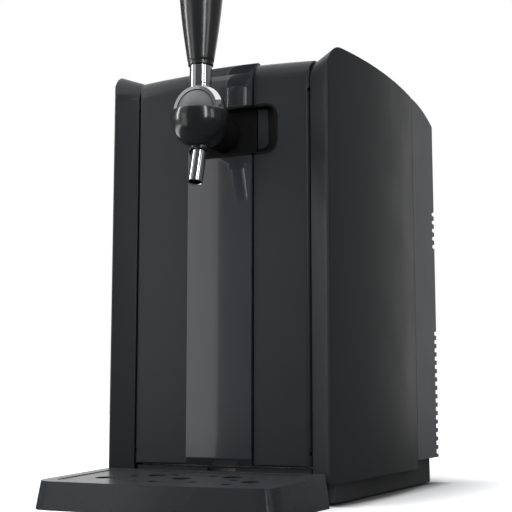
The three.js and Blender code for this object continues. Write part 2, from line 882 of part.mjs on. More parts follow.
function fanFrame() {
  const casing = facing(outline([
    [-fanHalf, coolerZ - fanHalf, hingeRadius],
    [fanHalf, coolerZ - fanHalf, hingeRadius],
    [fanHalf, coolerZ + fanHalf, hingeRadius],
    [-fanHalf, coolerZ + fanHalf, hingeRadius],
  ]), fanNear, fanFar).subtract(barrel(0, coolerZ, fanBore, fanNear - overrun, fanFar + overrun));
  const strutNear = fanFar - strutThickness;
  const across = block(-fanBore - seat, fanBore + seat, strutNear, fanFar, coolerZ - strutWidth / 2,
    coolerZ + strutWidth / 2);
  const down = block(-strutWidth / 2, strutWidth / 2, strutNear, fanFar, coolerZ - fanBore - seat,
    coolerZ + fanBore + seat);
  const hub = barrel(0, coolerZ, fanHub, strutNear, fanFar);
  const axle = barrel(0, coolerZ, axlePinRadius, fanNear + 2 * strutThickness, strutNear + seat, smallSides);
  return joined([casing, across, down, hub, axle]);
}

function fanRotor() {
  const near = fanNear + bladeThickness;
  const far = fanFar - strutThickness - 2 * seat;
  const hub = barrel(0, coolerZ, fanHub, near, far)
    .subtract(barrel(0, coolerZ, axlePinRadius + running, near + bladeThickness, far + overrun, smallSides));
  const reach = fanBore - 2 * bladeThickness;
  const depth = far - near;
  const blades = Array.from({ length: bladeCount }, (_, k) => {
    const blade = new THREE.BoxGeometry(reach - fanHub + bladeThickness, bladeThickness,
      depth / Math.cos(THREE.MathUtils.degToRad(bladeLean)), 2, 1, 1);
    const place = blade.attributes.position;
    for (let i = 0; i < place.count; i += 1) {
      const along = place.getX(i) / reach;
      place.setY(i, place.getY(i) + bladeCurl * (along ** 2));
    }
    blade.rotateX(THREE.MathUtils.degToRad(bladeLean)).translate((reach + fanHub - bladeThickness) / 2, 0, 0);
    return solidOf(blade.rotateZ((2 * Math.PI * k) / bladeCount).rotateX(Math.PI / 2)
      .translate(0, (near + far) / 2, coolerZ));
  });
  const room = barrel(0, coolerZ, reach, near, far)
    .subtract(barrel(0, coolerZ, fanHub - running, near - overrun, far + overrun));
  return hub.add(joined(blades).intersect(room));
}

// Rear housing: a box with rounded corners, a floor, a falling roof and slots round its corners
const housingNear = seamDepth + seamGap;

function housingPlan(inset, near) {
  return outline([
    [housingHalfWidth - inset, near],
    [housingHalfWidth - inset, bodyDepth - inset, housingCorner - inset],
    [inset - housingHalfWidth, bodyDepth - inset, housingCorner - inset],
    [inset - housingHalfWidth, near],
  ], 1);
}

function roofZ(depth) {
  const share = Math.max(0, (depth - seamDepth) / (bodyDepth - seamDepth));
  return shoulder(seamDepth) - housingFall * share ** 2;
}

function housingProfile(inset, near, lowZ) {
  const rear = bodyDepth - inset;
  const roof = Array.from({ length: crownSteps }, (_, k) => {
    const depth = seamDepth + ((rear - housingTopCorner - seamDepth) * k) / (crownSteps - 1);
    return [depth, roofZ(depth) - inset];
  });
  return outline([
    [near, lowZ],
    [near, roofZ(near) - inset],
    ...roof.slice(1),
    [rear, roofZ(rear) - inset, housingTopCorner - inset],
    [rear, lowZ],
  ]);
}

function louvreCutters() {
  const rows = [];
  for (let k = 0; k < upperLouvreCount; k += 1) {
    rows.push(upperLouvreZ + k * louvrePitch);
  }
  for (let k = 0; k < lowerLouvreCount; k += 1) {
    rows.push(lowerLouvreZ + k * louvrePitch);
  }
  const innerX = housingHalfWidth - louvreRearReach;
  const outerX = housingHalfWidth + overrun;
  return rows.flatMap((z) => [-1, 1].map((side) => {
    const low = z - louvreHeight / 2;
    const high = z + louvreHeight / 2;
    const shape = [
      new THREE.Vector2(side * innerX, low),
      new THREE.Vector2(side * outerX, low + louvreRise),
      new THREE.Vector2(side * outerX, high + louvreRise),
      new THREE.Vector2(side * innerX, high),
    ];
    return facing(shape, bodyDepth - louvreSideReach, bodyDepth + overrun);
  }));
}

function roofBend(x, depth, z) {
  return z > headBottomZ ? crown(x) + shoulderFall(x) : 0;
}

function housingBlock(inset, near, lowZ) {
  const reach = coverInnerX * 1.5;
  return upright(housingPlan(inset, near), lowZ, shoulderZ + 2 * shoulderRise)
    .intersect(sideways(housingProfile(inset, near, lowZ), -reach, reach, crownSteps, roofBend));
}

// The lip reaches forward under the covers and is notched for their flanges.
function housingLipRing() {
  const outset = coverWall + running + seat + running;
  const near = housingNear - housingLip;
  const far = housingNear + housingWall;
  const top = shoulderZ + 2 * shoulderRise;
  const ring = housingBlock(outset, near, housingBottomZ)
    .subtract(housingBlock(outset + housingLipWall, near - overrun, housingBottomZ - overrun))
    .subtract(block(-bodyHalfWidth, bodyHalfWidth, far, bodyDepth, 0, top));
  const notches = [-1, 1].map((side) => {
    const ends = [side * (coverInnerX - seat - running), side * (coverInnerX + coverWall + seat + running)];
    return block(Math.min(...ends), Math.max(...ends), near - overrun, housingNear,
      doorTopZ - coverFlangeHeight - seat, top);
  });
  return cutAll(ring, notches);
}

function rearHousing() {
  const outer = housingBlock(0, housingNear, housingBottomZ);
  const inner = housingBlock(housingWall, housingNear - overrun, housingBottomZ + housingWall);
  const airHole = block(-intakeHalfWidth, intakeHalfWidth, seamDepth + 2 * overrun,
    plinthRear - plinthRearCorner / 2, housingBottomZ - overrun, housingBottomZ + 2 * housingWall);
  const grille = Array.from({ length: grilleSlotCount }, (_, k) => {
    const middle = coolerZ + (k - (grilleSlotCount - 1) / 2) * grilleSlotPitch;
    return block(-grilleHalfWidth, grilleHalfWidth, bodyDepth - 2 * housingWall, bodyDepth + overrun,
      middle - grilleSlotHeight / 2, middle + grilleSlotHeight / 2);
  });
  const socket = block(inletX - inletHalfWidth - seat, inletX + inletHalfWidth + seat,
    bodyDepth - 2 * housingWall, bodyDepth + overrun, inletZ - inletHalfHeight - seat,
    inletZ + inletHalfHeight + seat);
  const screwHoles = screwPlaces().map(([x, z]) => (
    barrel(x, z, screwShank + running, bodyDepth - 2 * housingWall, bodyDepth + overrun, smallSides)));
  return cutAll(outer, [inner, airHole, socket, ...grille, ...screwHoles, ...louvreCutters()])
    .add(housingLipRing());
}

// Screws stand between the louvre groups and at the four corners of the rear wall.
function screwPlaces() {
  const insetX = housingHalfWidth - screwInset;
  const highZ = roofZ(bodyDepth) - screwDrop;
  const middleZ = (upperLouvreZ + lowerLouvreZ + lowerLouvreCount * louvrePitch) / 2;
  return [highZ, middleZ].flatMap((z) => [[-insetX, z], [insetX, z]]);
}

function rearScrew([x, z]) {
  const near = bodyDepth + running;
  return barrel(x, z, screwRadius, near, near + screwShank, smallSides)
    .add(barrel(x, z, screwShank, near - screwLength, near + running, smallSides));
}

// Base plinth: a set-in pan that carries a wide deck under the covers and an apron at the front
function plinthPlan(inset) {
  const half = plinthHalfWidth - inset;
  return outline([
    [-half, plinthFront + inset, plinthFrontCorner - inset],
    [half, plinthFront + inset, plinthFrontCorner - inset],
    [half, plinthRear - inset, plinthRearCorner - inset],
    [-half, plinthRear - inset, plinthRearCorner - inset],
  ]);
}

function deckPlan() {
  const inset = coverWall + seat;
  const front = inset + deckMargin - coverLead;
  const right = [
    new THREE.Vector2(apronHalfWidth, plinthFront),
    new THREE.Vector2(coverInnerX + inset, coverSetback + inset),
  ];
  for (let k = 0; k <= crownSteps; k += 1) {
    const depth = front + ((seamDepth - front) * k) / crownSteps;
    right.push(new THREE.Vector2(sideX(depth) - inset, depth));
  }
  return [...right, ...mirrored(right).reverse()];
}

function footPlaces() {
  const x = plinthHalfWidth - footInset;
  return [plinthFront + footInset, plinthRear - footInset - plinthWall].flatMap((depth) => [
    [-x, depth],
    [x, depth],
  ]);
}

function basePlinth() {
  const pan = upright(plinthPlan(0), plinthFloorZ, coverBottomZ);
  const rear = upright(plinthPlan(0), plinthFloorZ, housingBottomZ - seat)
    .intersect(block(-bodyHalfWidth, bodyHalfWidth, housingNear, bodyDepth, 0, housingBottomZ));
  const deck = upright(deckPlan(), coverBottomZ, deckTopZ);
  const apron = block(-apronHalfWidth, apronHalfWidth, plinthFront, plinthFront + plinthWall,
    plinthFloorZ + plinthWall, apronTopZ);
  const hollow = upright(plinthPlan(plinthWall), plinthFloorZ + plinthWall, coverBottomZ)
    .add(upright(plinthPlan(plinthWall), plinthFloorZ + plinthWall, housingBottomZ + overrun)
      .intersect(block(-bodyHalfWidth, bodyHalfWidth, housingNear + plinthWall, bodyDepth, 0,
        housingBottomZ + overrun)));
  const hook = block(-hookHalfWidth, hookHalfWidth, 0, plinthFront + 2 * plinthWall, hookBottomZ, hookTopZ);
  const intake = Array.from({ length: intakeSlotCount }, (_, k) => {
    const near = plinthRear - plinthRearCorner - intakeSlotPitch * k;
    return block(-intakeHalfWidth, intakeHalfWidth, near, near + intakeSlotWidth, 0,
      plinthFloorZ + plinthWall + seat);
  });
  const footHoles = footPlaces().map(([x, depth]) => (
    post(x, depth, footPin + running, 0, plinthFloorZ + 2 * plinthWall, smallSides)));
  return cutAll(joined([pan, rear, deck, apron]), [hollow, hook, ...intake, ...footHoles]);
}

function rubberFoot([x, depth]) {
  return post(x, depth, footRadius, 0, footHeight, mediumSides)
    .add(post(x, depth, footPin, 0, plinthFloorZ + plinthWall + seat, smallSides));
}

// Top cover with its window and button
const topNear = headDepth + seamGap;

function coverTopZ(depth) {
  return shoulder(depth) - innerFall + doorCrown;
}

function topCover() {
  const reach = coverInnerX - seat;
  const profile = [
    ...shoulderLine(topNear, seamDepth, innerFall),
    ...shoulderLine(topNear, seamDepth, innerFall + topThickness).reverse(),
  ];
  const lip = [
    [topNear, doorTopZ - coverFlangeHeight],
    [topNear, doorTopZ - topThickness / 2],
    [topNear + topThickness, doorTopZ - topThickness / 2],
    [topNear + topThickness, doorTopZ - coverFlangeHeight],
  ];
  const sheet = sideways(outline(profile), -reach, reach, crownSteps, crown);
  const front = sideways(outline(lip), -reach, reach, crownSteps, crown);
  const pane = windowPlan(seat);
  const low = doorTopZ - 2 * coverFlangeHeight;
  const high = shoulderZ + shoulderRise;
  const sheetAt = shoulder(windowDepth) - innerFall - topThickness / 2;
  const collar = upright(windowPlan(seat + topThickness), coverTopZ(windowDepth) - boardDrop,
    sheetAt + crown(windowHalfWidth));
  const windowWay = upright(pane, low, high);
  const sleeve = post(buttonX, windowDepth, buttonRadius + topThickness, coverTopZ(windowDepth) - boardDrop,
    sheetAt + crown(buttonX));
  const buttonWay = post(buttonX, windowDepth, buttonRadius + running, low, high);
  return cutAll(joined([sheet, front, collar, sleeve]), [windowWay, buttonWay]);
}

function windowPlan(inset) {
  return outline([
    [-windowHalfWidth - inset, windowDepth - windowHalfDepth - inset, windowCorner + inset],
    [windowHalfWidth + inset, windowDepth - windowHalfDepth - inset, windowCorner + inset],
    [windowHalfWidth + inset, windowDepth + windowHalfDepth + inset, windowCorner + inset],
    [-windowHalfWidth - inset, windowDepth + windowHalfDepth + inset, windowCorner + inset],
  ]);
}

function displayWindow() {
  const high = coverTopZ(windowDepth);
  const profile = [
    ...shoulderLine(windowDepth - 2 * windowHalfDepth, windowDepth + 2 * windowHalfDepth, innerFall),
    ...shoulderLine(windowDepth - 2 * windowHalfDepth, windowDepth + 2 * windowHalfDepth,
      innerFall + windowThickness).reverse(),
  ];
  const reach = windowHalfWidth + overrun;
  return upright(windowPlan(0), high - boardDrop, high + overrun)
    .intersect(sideways(outline(profile), -reach, reach, crownSteps, crown));
}

function displayBoard() {
  const high = coverTopZ(windowDepth) - boardDrop - seat;
  const near = windowDepth - windowHalfDepth;
  const far = windowDepth + windowHalfDepth;
  const board = block(-windowHalfWidth - topThickness, buttonX + buttonRadius + topThickness, near, far,
    high - boardThickness, high);
  const screen = block(-windowHalfWidth + windowCorner, windowHalfWidth - windowCorner,
    near + windowCorner, far - windowCorner, high - running, high + boardDrop - 2 * topThickness);
  const contact = post(buttonX, windowDepth, buttonRadius / 2, high - running,
    buttonLowZ - buttonTravel - seat, smallSides);
  return joined([board, screen, contact]);
}

const buttonHighZ = shoulder(windowDepth) - innerFall + crown(buttonX) + buttonProud;
const buttonLowZ = buttonHighZ - buttonHeight;

function powerButton() {
  const edge = buttonProud;
  return lathe([
    [0, buttonLowZ],
    [buttonRadius, buttonLowZ],
    [buttonRadius, buttonHighZ - edge / 2],
    [buttonRadius - edge, buttonHighZ],
    [0, buttonHighZ - edge / 2],
  ], buttonX, windowDepth);
}

// Electrics in the rear housing
const boardNear = foamRadius + chamberCentre + standoff;

function powerSupply() {
  const far = boardNear + boardThickness;
  const top = supplyBottomZ + supplyHeight;
  const board = block(-supplyHalfWidth, supplyHalfWidth, boardNear, far, supplyBottomZ, top);
  const middleZ = supplyBottomZ + transformerHalf + standoff;
  const transformer = block(-supplyHalfWidth + standoff, -supplyHalfWidth + standoff + 2 * transformerHalf,
    far - running, far + transformerDepth, middleZ - transformerHalf, middleZ + transformerHalf);
  const cans = Array.from({ length: 3 }, (_, k) => barrel(2 * transformerHalf / 3,
    supplyBottomZ + standoff + capacitorRadius + k * capacitorPitch, capacitorRadius,
    far - running, far + capacitorHeight));
  const pegX = supplyHalfWidth - standoff;
  const pegs = [[-pegX, 1], [pegX, 1], [0, 0]].map(([x, up]) => {
    const z = up ? top - standoff : supplyBottomZ + standoff / 2;
    const depth = chamberCentre + Math.sqrt(foamRadius ** 2 - x ** 2) - standoff;
    return barrel(x, z, standoff / 2, depth, boardNear + running, smallSides);
  });
  const back = joined([board, transformer, ...cans, ...pegs]);
  return back.subtract(upright(tubPlan(foamRadius + seat, 0), 0, shoulderZ));
}

function airPump() {
  const near = boardNear + standoff;
  const depth = near + pumpHeadHalf;
  const motor = post(pumpX, depth, pumpRadius, pumpZ, pumpZ + pumpLength);
  const head = block(pumpX - pumpHeadHalf, pumpX + pumpHeadHalf, near, near + 2 * pumpHeadHalf,
    pumpZ + pumpLength - seat, pumpZ + pumpLength + pumpHeadHeight);
  const port = post(pumpX, depth, pumpPort, pumpZ + pumpLength, pumpPortTopZ, smallSides);
  const footDepth = chamberCentre + Math.sqrt(foamRadius ** 2 - pumpX ** 2);
  const foot = block(pumpX - pumpRadius / 2, pumpX + pumpRadius / 2, footDepth - standoff, depth,
    pumpZ + standoff, pumpZ + pumpLength - standoff);
  return joined([motor, head, port, foot.subtract(upright(tubPlan(foamRadius + seat, 0), 0, shoulderZ))]);
}

const pumpPortTopZ = pumpZ + pumpLength + pumpHeadHeight + pumpPortReach;

function airHose() {
  const pumpDepth = boardNear + standoff + pumpHeadHalf;
  const runZ = foamTopZ + hoseRadius + 2 * seat;
  const nozzleTopZ = chamberTopZ + chamberWall + seat + nozzleReach;
  const curve = new THREE.CurvePath();
  const start = new THREE.Vector3(pumpX, pumpDepth, pumpPortTopZ + seat);
  const firstTop = new THREE.Vector3(pumpX, pumpDepth, runZ);
  const landing = new THREE.Vector3(nozzleX, nozzleDepth, runZ);
  const along = landing.clone().sub(firstTop).normalize();
  const points = [
    start,
    firstTop.clone().setZ(runZ - hoseBend),
    firstTop,
    firstTop.clone().addScaledVector(along, hoseBend),
    landing.clone().addScaledVector(along, -hoseShortBend),
    landing,
    landing.clone().setZ(runZ - hoseShortBend),
    landing.clone().setZ(nozzleTopZ + seat),
  ];
  curve.add(new THREE.LineCurve3(points[0], points[1]));
  curve.add(new THREE.QuadraticBezierCurve3(points[1], points[2], points[3]));
  curve.add(new THREE.LineCurve3(points[3], points[4]));
  curve.add(new THREE.QuadraticBezierCurve3(points[4], points[5], points[6]));
  curve.add(new THREE.LineCurve3(points[6], points[7]));
  const section = new THREE.Shape(circle(0, 0, hoseRadius, hoseSides));
  return solidOf(new THREE.ExtrudeGeometry(section, {
    steps: hoseSteps,
    bevelEnabled: false,
    extrudePath: curve,
  }));
}

function mainsInlet() {
  const near = bodyDepth - housingWall - inletDepth;
  const frame = block(inletX - inletHalfWidth, inletX + inletHalfWidth, near, bodyDepth + housingWall / 2,
    inletZ - inletHalfHeight, inletZ + inletHalfHeight);
  const flange = block(inletX - inletHalfWidth - inletFlange, inletX + inletHalfWidth + inletFlange,
    bodyDepth + running, bodyDepth + housingWall / 2, inletZ - inletHalfHeight - inletFlange,
    inletZ + inletHalfHeight + inletFlange);
  const mouth = bodyDepth + housingWall / 2;
  const socket = facing(outline([
    [inletX - inletSocketWidth, inletZ - inletSocketHeight],
    [inletX + inletSocketWidth, inletZ - inletSocketHeight],
    [inletX + inletSocketWidth, inletZ + inletSocketHeight / 2],
    [inletX + inletSocketWidth / 2, inletZ + inletSocketHeight],
    [inletX - inletSocketWidth / 2, inletZ + inletSocketHeight],
    [inletX - inletSocketWidth, inletZ + inletSocketHeight / 2],
  ]), mouth - inletSocketDepth, mouth + overrun);
  const pins = [[-1, -1], [0, 1], [1, -1]].map(([across, up]) => {
    const x = inletX + across * inletSocketWidth / 2;
    const z = inletZ + up * inletSocketHeight / 3;
    return block(x - inletPinHalf, x + inletPinHalf, mouth - inletSocketDepth - running,
      mouth - inletSocketDepth + inletPinReach, z - 2 * inletPinHalf, z + 2 * inletPinHalf);
  });
  return joined([frame.add(flange).subtract(socket), ...pins]);
}

// Tap: a black bowl with a fixed core; a chrome hood turns between them on a cross pin
// The room is wider than the hood by what two faceted balls need to turn in each other.
function hoodRoom() {
  const facet = Math.cos(Math.PI / sphereSides) ** 2;
  return ball(0, -tapReach, tapPivotZ, (hoodRadius + running) / facet);
}

function tapBowl() {
  const globe = ball(0, -tapReach, tapPivotZ - bowlDrop, bowlRadius);
  const above = block(-bowlRadius, bowlRadius, -tapReach - bowlRadius, bowlRadius - tapReach, tapPivotZ,
    tapPivotZ + bowlRadius);
  return cutAll(globe, [above, hoodRoom(), spoutWay()]);
}

function tapCore() {
  const coreRadius = hoodRadius - hoodWall - coreGap;
  const stemLow = tapPivotZ - hoodRadius - running;
  const stem = post(0, -tapReach, coreStem, stemLow, tapPivotZ)
    .intersect(ball(0, -tapReach, tapPivotZ, hoodRadius - running / 4));
  const bore = crossbar(-tapReach, tapPivotZ, leverPinRadius + running, -2 * hoodRadius, 2 * hoodRadius,
    smallSides);
  return ball(0, -tapReach, tapPivotZ, coreRadius).add(stem).subtract(bore);
}

function leverPin() {
  const reach = hoodRadius - running;
  return crossbar(-tapReach, tapPivotZ, leverPinRadius, -reach, reach, smallSides);
}

function leverHood() {
  const shell = ball(0, -tapReach, tapPivotZ, hoodRadius)
    .subtract(ball(0, -tapReach, tapPivotZ, hoodRadius - hoodWall));
  const upper = block(-2 * hoodRadius, 2 * hoodRadius, -tapReach - hoodFace, 2 * hoodRadius,
    tapPivotZ + running, tapPivotZ + 2 * hoodRadius);
  const ears = crossbar(-tapReach, tapPivotZ, earRadius, -2 * hoodRadius, 2 * hoodRadius);
  const collar = post(0, -tapReach, collarRadius, tapPivotZ + hoodRadius - hoodWall, collarTopZ)
    .add(post(0, -tapReach, studRadius, collarTopZ - hoodWall, studTopZ));
  const bore = crossbar(-tapReach, tapPivotZ, leverPinRadius + running / 2, -2 * hoodRadius, 2 * hoodRadius,
    smallSides);
  const inside = ball(0, -tapReach, tapPivotZ, hoodRadius - hoodWall);
  return cutAll(shell.intersect(upper.add(ears)).add(collar), [inside, bore]);
}

function leverFerrule() {
  const low = collarTopZ + running;
  const edge = ferruleEdge;
  const bore = studRadius + running;
  return lathe([
    [bore, low],
    [ferruleRadius - edge, low],
    [ferruleRadius, low + edge],
    [ferruleRadius, ferruleTopZ - edge],
    [ferruleRadius - edge, ferruleTopZ],
    [bore, ferruleTopZ],
    [bore, low],
  ], 0, -tapReach);
}

function handleRadius(share) {
  return handleBaseRadius + (handleTopRadius - handleBaseRadius) * share
    + handleBulge * Math.sin(Math.PI * share);
}

function tapHandle() {
  const low = ferruleTopZ + running;
  const steps = 8;
  const bore = studRadius + running;
  const side = Array.from({ length: steps + 1 }, (_, k) => [
    handleRadius(k / steps),
    low + ((handleTopZ - low) * k) / steps,
  ]);
  return lathe([
    [0, studTopZ + running],
    [bore, studTopZ + running],
    [bore, low],
    ...side,
    [0, handleTopZ],
  ], 0, -tapReach);
}

function handleCap() {
  const low = handleTopZ + running;
  const steps = 6;
  const dome = Array.from({ length: steps + 1 }, (_, k) => {
    const angle = (Math.PI / 2) * (k / steps);
    return [k === steps ? 0 : handleTopRadius * Math.cos(angle), low + capHeight * Math.sin(angle)];
  });
  return lathe([[0, low], ...dome], 0, -tapReach);
}

function tapNeck() {
  const neck = barrel(0, neckZ, neckRadius, -tapReach + coreStem, recessDepth - seat);
  const shank = barrel(0, neckZ, shankRadius, 0, recessDepth + cupWall + shankReach);
  const wayClear = [
    ball(0, -tapReach, tapPivotZ - bowlDrop, bowlRadius + seat),
    ball(0, -tapReach, tapPivotZ, hoodRadius + 2 * running),
  ];
  return cutAll(neck.add(shank), wayClear);
}

function shankNut() {
  const near = recessDepth + cupWall + seat;
  return barrel(0, neckZ, nutRadius, near, near + nutThickness, 6)
    .subtract(barrel(0, neckZ, shankRadius + running, near - overrun, near + nutThickness + overrun));
}

// The spout leans forward about the point where it enters its boss.
function leaned(solidGeometry) {
  return solidGeometry.translate(0, 0, -spoutTopZ).rotateX(-THREE.MathUtils.degToRad(spoutTilt))
    .translate(0, -tapReach, spoutTopZ);
}

function spoutPost(radius, lowZ, highZ) {
  return solidOf(leaned(rod(radius, highZ - lowZ).translate(0, 0, (lowZ + highZ) / 2)));
}

function spoutWay() {
  return spoutPost(spoutRadius + running, bossBottomZ - overrun, bossBottomZ + overrun)
    .add(spoutPost(spoutBore, bossBottomZ, tapPivotZ - bowlRadius + overrun));
}

function spoutBoss() {
  const boss = spoutPost(bossRadius, bossBottomZ, spoutTopZ + overrun);
  return cutAll(boss, [
    ball(0, -tapReach, tapPivotZ - bowlDrop, bowlRadius + seat),
    spoutPost(spoutRadius + running, bossBottomZ - overrun, bossBottomZ + overrun),
    spoutPost(spoutBore, bossBottomZ - overrun, spoutTopZ + 2 * overrun),
  ]);
}

function spout() {
  return spoutPost(spoutRadius, spoutTipZ, bossBottomZ + overrun - running)
    .subtract(spoutPost(spoutBore, spoutTipZ - overrun, spoutTopZ));
}

// Drip tray: a drafted basin whose rim slopes to a bowed front, with a loose grid
function trayPlan(inset, spread) {
  const half = trayHalfWidth - inset + spread;
  const front = inset - trayReach - spread;
  const back = -trayBackGap - inset;
  const corner = Math.max(trayCorner - inset, trayBackCorner);
  return outline([
    [-half, back, trayBackCorner],
    [-half, front + trayBow, corner],
    [0, front, 4 * half],
    [half, front + trayBow, corner],
    [half, back, trayBackCorner],
  ]);
}

function traySlope(lowOffset) {
  const zAt = (depth) => trayBackZ + lowOffset
    + ((trayBackZ - trayFrontZ) * (depth + trayBackGap)) / (trayReach - trayBackGap);
  const ends = [-trayReach - 2 * overrun, -trayBackGap + 2 * overrun];
  const profile = [
    [ends[0], zAt(ends[0])],
    [ends[1], zAt(ends[1])],
    [ends[1], zAt(ends[1]) + trayBackZ],
    [ends[0], zAt(ends[0]) + trayBackZ],
  ];
  const reach = trayHalfWidth + 2 * overrun;
  return sideways(outline(profile), -reach, reach);
}

function draftedPrism(planAt, lowZ, highZ) {
  const bottom = planAt(trayDraft);
  const geometry = prism(bottom, highZ - lowZ).translate(0, 0, lowZ);
  const place = geometry.attributes.position;
  const middle = -(trayReach + trayBackGap) / 2;
  const halfDepth = (trayReach - trayBackGap) / 2;
  for (let i = 0; i < place.count; i += 1) {
    if (place.getZ(i) > (lowZ + highZ) / 2) {
      place.setX(i, place.getX(i) * (trayHalfWidth / (trayHalfWidth + trayDraft)));
      const depth = place.getY(i) - middle;
      const shrink = depth < 0 ? halfDepth / (halfDepth + trayDraft) : 1;
      place.setY(i, middle + depth * shrink);
    }
  }
  return solidOf(geometry);
}

function dripTray() {
  const outer = draftedPrism((spread) => trayPlan(0, spread), 0, trayBackZ).subtract(traySlope(0));
  const basin = upright(trayPlan(trayRim + gridLedge, 0), trayBasinZ, 2 * trayBackZ);
  const ledge = upright(trayPlan(trayRim, 0), 0, 2 * trayBackZ).intersect(traySlope(-gridThickness - gridSink
    - seat));
  const under = upright(trayPlan(trayWall, 0), -overrun, trayBackZ)
    .subtract(traySlope(-trayWall - gridThickness - gridSink - seat))
    .subtract(upright(trayPlan(trayRim + gridLedge - trayWall, 0), trayBasinZ - trayWall, 2 * trayBackZ));
  const tongue = block(hookSlack - hookHalfWidth, hookHalfWidth - hookSlack, -trayBackGap - trayWall,
    tongueReach, tongueZ, tongueZ + tongueThickness);
  return cutAll(outer, [basin, ledge, under]).add(tongue);
}

// Places of the drain holes, as shares of the grid's half width and of its depth
const largeHoleShares = [[-0.34, 0.3], [0.02, 0.5], [0.4, 0.28], [0.72, 0.6], [-0.7, 0.62]];
const smallHoleShares = [[-0.12, 0.78], [0.24, 0.74], [-0.5, 0.42], [0.6, 0.84], [-0.2, 0.2], [0.2, 0.24],
  [0.52, 0.5]];

function dripGrid() {
  const fit = trayRim + seat;
  const sheet = upright(trayPlan(fit, 0), 0, 2 * trayBackZ)
    .intersect(traySlope(-gridThickness - gridSink))
    .subtract(traySlope(-gridSink));
  const half = trayHalfWidth - fit;
  const back = -trayBackGap - fit;
  const depth = trayReach - trayBackGap - 2 * fit;
  const hole = ([across, down], radius, sides) => post(across * half, back - down * depth, radius, 0,
    2 * trayBackZ, sides);
  return cutAll(sheet, [
    ...largeHoleShares.map((place) => hole(place, gridHoleLarge, mediumSides)),
    ...smallHoleShares.map((place) => hole(place, gridHoleSmall, smallSides)),
  ]);
}

// Finishes
function finish(color, roughness, metalness = 0) {
  return new THREE.MeshStandardMaterial({ color, roughness, metalness });
}

const satinGrey = finish('#34363a', 0.45);
const glossBlack = finish('#16171a', 0.12);
const matteBlack = finish('#1c1d20', 0.6);
const whitePlastic = finish('#d9dbdc', 0.5);
const foamWhite = finish('#e9e9e4', 0.9);
const rubber = finish('#141414', 0.85);
const chrome = finish('#e8eaec', 0.08, 1);
const aluminium = finish('#b9bcc0', 0.35, 1);
const steel = finish('#9a9da0', 0.35, 1);
const ceramic = finish('#efefef', 0.6);
const boardGreen = finish('#1f5c3a', 0.5);
const brass = finish('#b08d48', 0.3, 1);

const machine = new THREE.Group();

function place(name, solid, material) {
  const mesh = new THREE.Mesh(geometryOf(solid), material);
  mesh.name = name;
  machine.add(mesh);
}

place('base_plinth', basePlinth(), matteBlack);
footPlaces().forEach((spot, k) => place(`rubber_foot_${k + 1}`, rubberFoot(spot), rubber));
place('left_side_cover', sideCover(-1), satinGrey);
place('right_side_cover', sideCover(1), satinGrey);
place('rear_housing', rearHousing(), satinGrey);
screwPlaces().forEach((spot, k) => place(`rear_screw_${k + 1}`, rearScrew(spot), steel));
place('top_cover', topCover(), satinGrey);
place('display_window', displayWindow(), glossBlack);
place('display_board', displayBoard(), boardGreen);
place('power_button', powerButton(), glossBlack);
place('chamber_liner', chamberLiner(), whitePlastic);
place('chamber_insulation', chamberInsulation(), foamWhite);
place('mouth_gasket', mouthGasket(), rubber);
place('keg_support', kegSupport(), matteBlack);
place('air_nozzle', airNozzle(), brass);
place('cold_plate', coldPlate(), aluminium);
place('thermoelectric_module', block(-moduleHalf, moduleHalf, plateFar + seat, moduleFar,
  coolerZ - moduleHalf, coolerZ + moduleHalf), ceramic);
place('heat_sink', heatSink(), aluminium);
place('fan_frame', fanFrame(), matteBlack);
place('fan_rotor', fanRotor(), matteBlack);
place('power_supply_board', powerSupply(), boardGreen);
place('air_pump', airPump(), steel);
place('air_hose', airHose(), rubber);
place('mains_inlet', mainsInlet(), matteBlack);
place('left_upper_hinge_arm', hingeArm(-1, armUpperZ), steel);
place('left_lower_hinge_arm', hingeArm(-1, armLowerZ), steel);
place('right_upper_hinge_arm', hingeArm(1, armUpperZ), steel);
place('right_lower_hinge_arm', hingeArm(1, armLowerZ), steel);
place('main_door_shell', mainDoorShell(), satinGrey);
place('front_strip', frontStrip(), glossBlack);
place('main_door_liner', doorLiner(-1), whitePlastic);
place('tap_recess_cup', tapRecessCup(), matteBlack);
place('side_door_shell', sideDoorShell(), satinGrey);
place('side_door_liner', doorLiner(1), whitePlastic);
place('grip_scoop', gripScoop(), matteBlack);
place('tap_neck', tapNeck(), glossBlack);
place('shank_nut', shankNut(), brass);
place('tap_bowl', tapBowl(), glossBlack);
place('tap_core', tapCore(), aluminium);
place('lever_pin', leverPin(), steel);
place('lever_hood', leverHood(), chrome);
place('lever_ferrule', leverFerrule(), chrome);
place('tap_handle', tapHandle(), glossBlack);
place('handle_cap', handleCap(), glossBlack);
place('spout_boss', spoutBoss(), glossBlack);
place('spout', spout(), chrome);
place('drip_tray', dripTray(), satinGrey);
place('drip_grid', dripGrid(), satinGrey);

machine.position.y = (trayReach + trayDraft - bodyDepth - running - screwShank) / 2;

const dispenser = new THREE.Group();
dispenser.add(machine);

export default dispenser;
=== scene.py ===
from math import cos, pi, radians, sin, tan

import bmesh
import bpy
from mathutils import Matrix, Vector


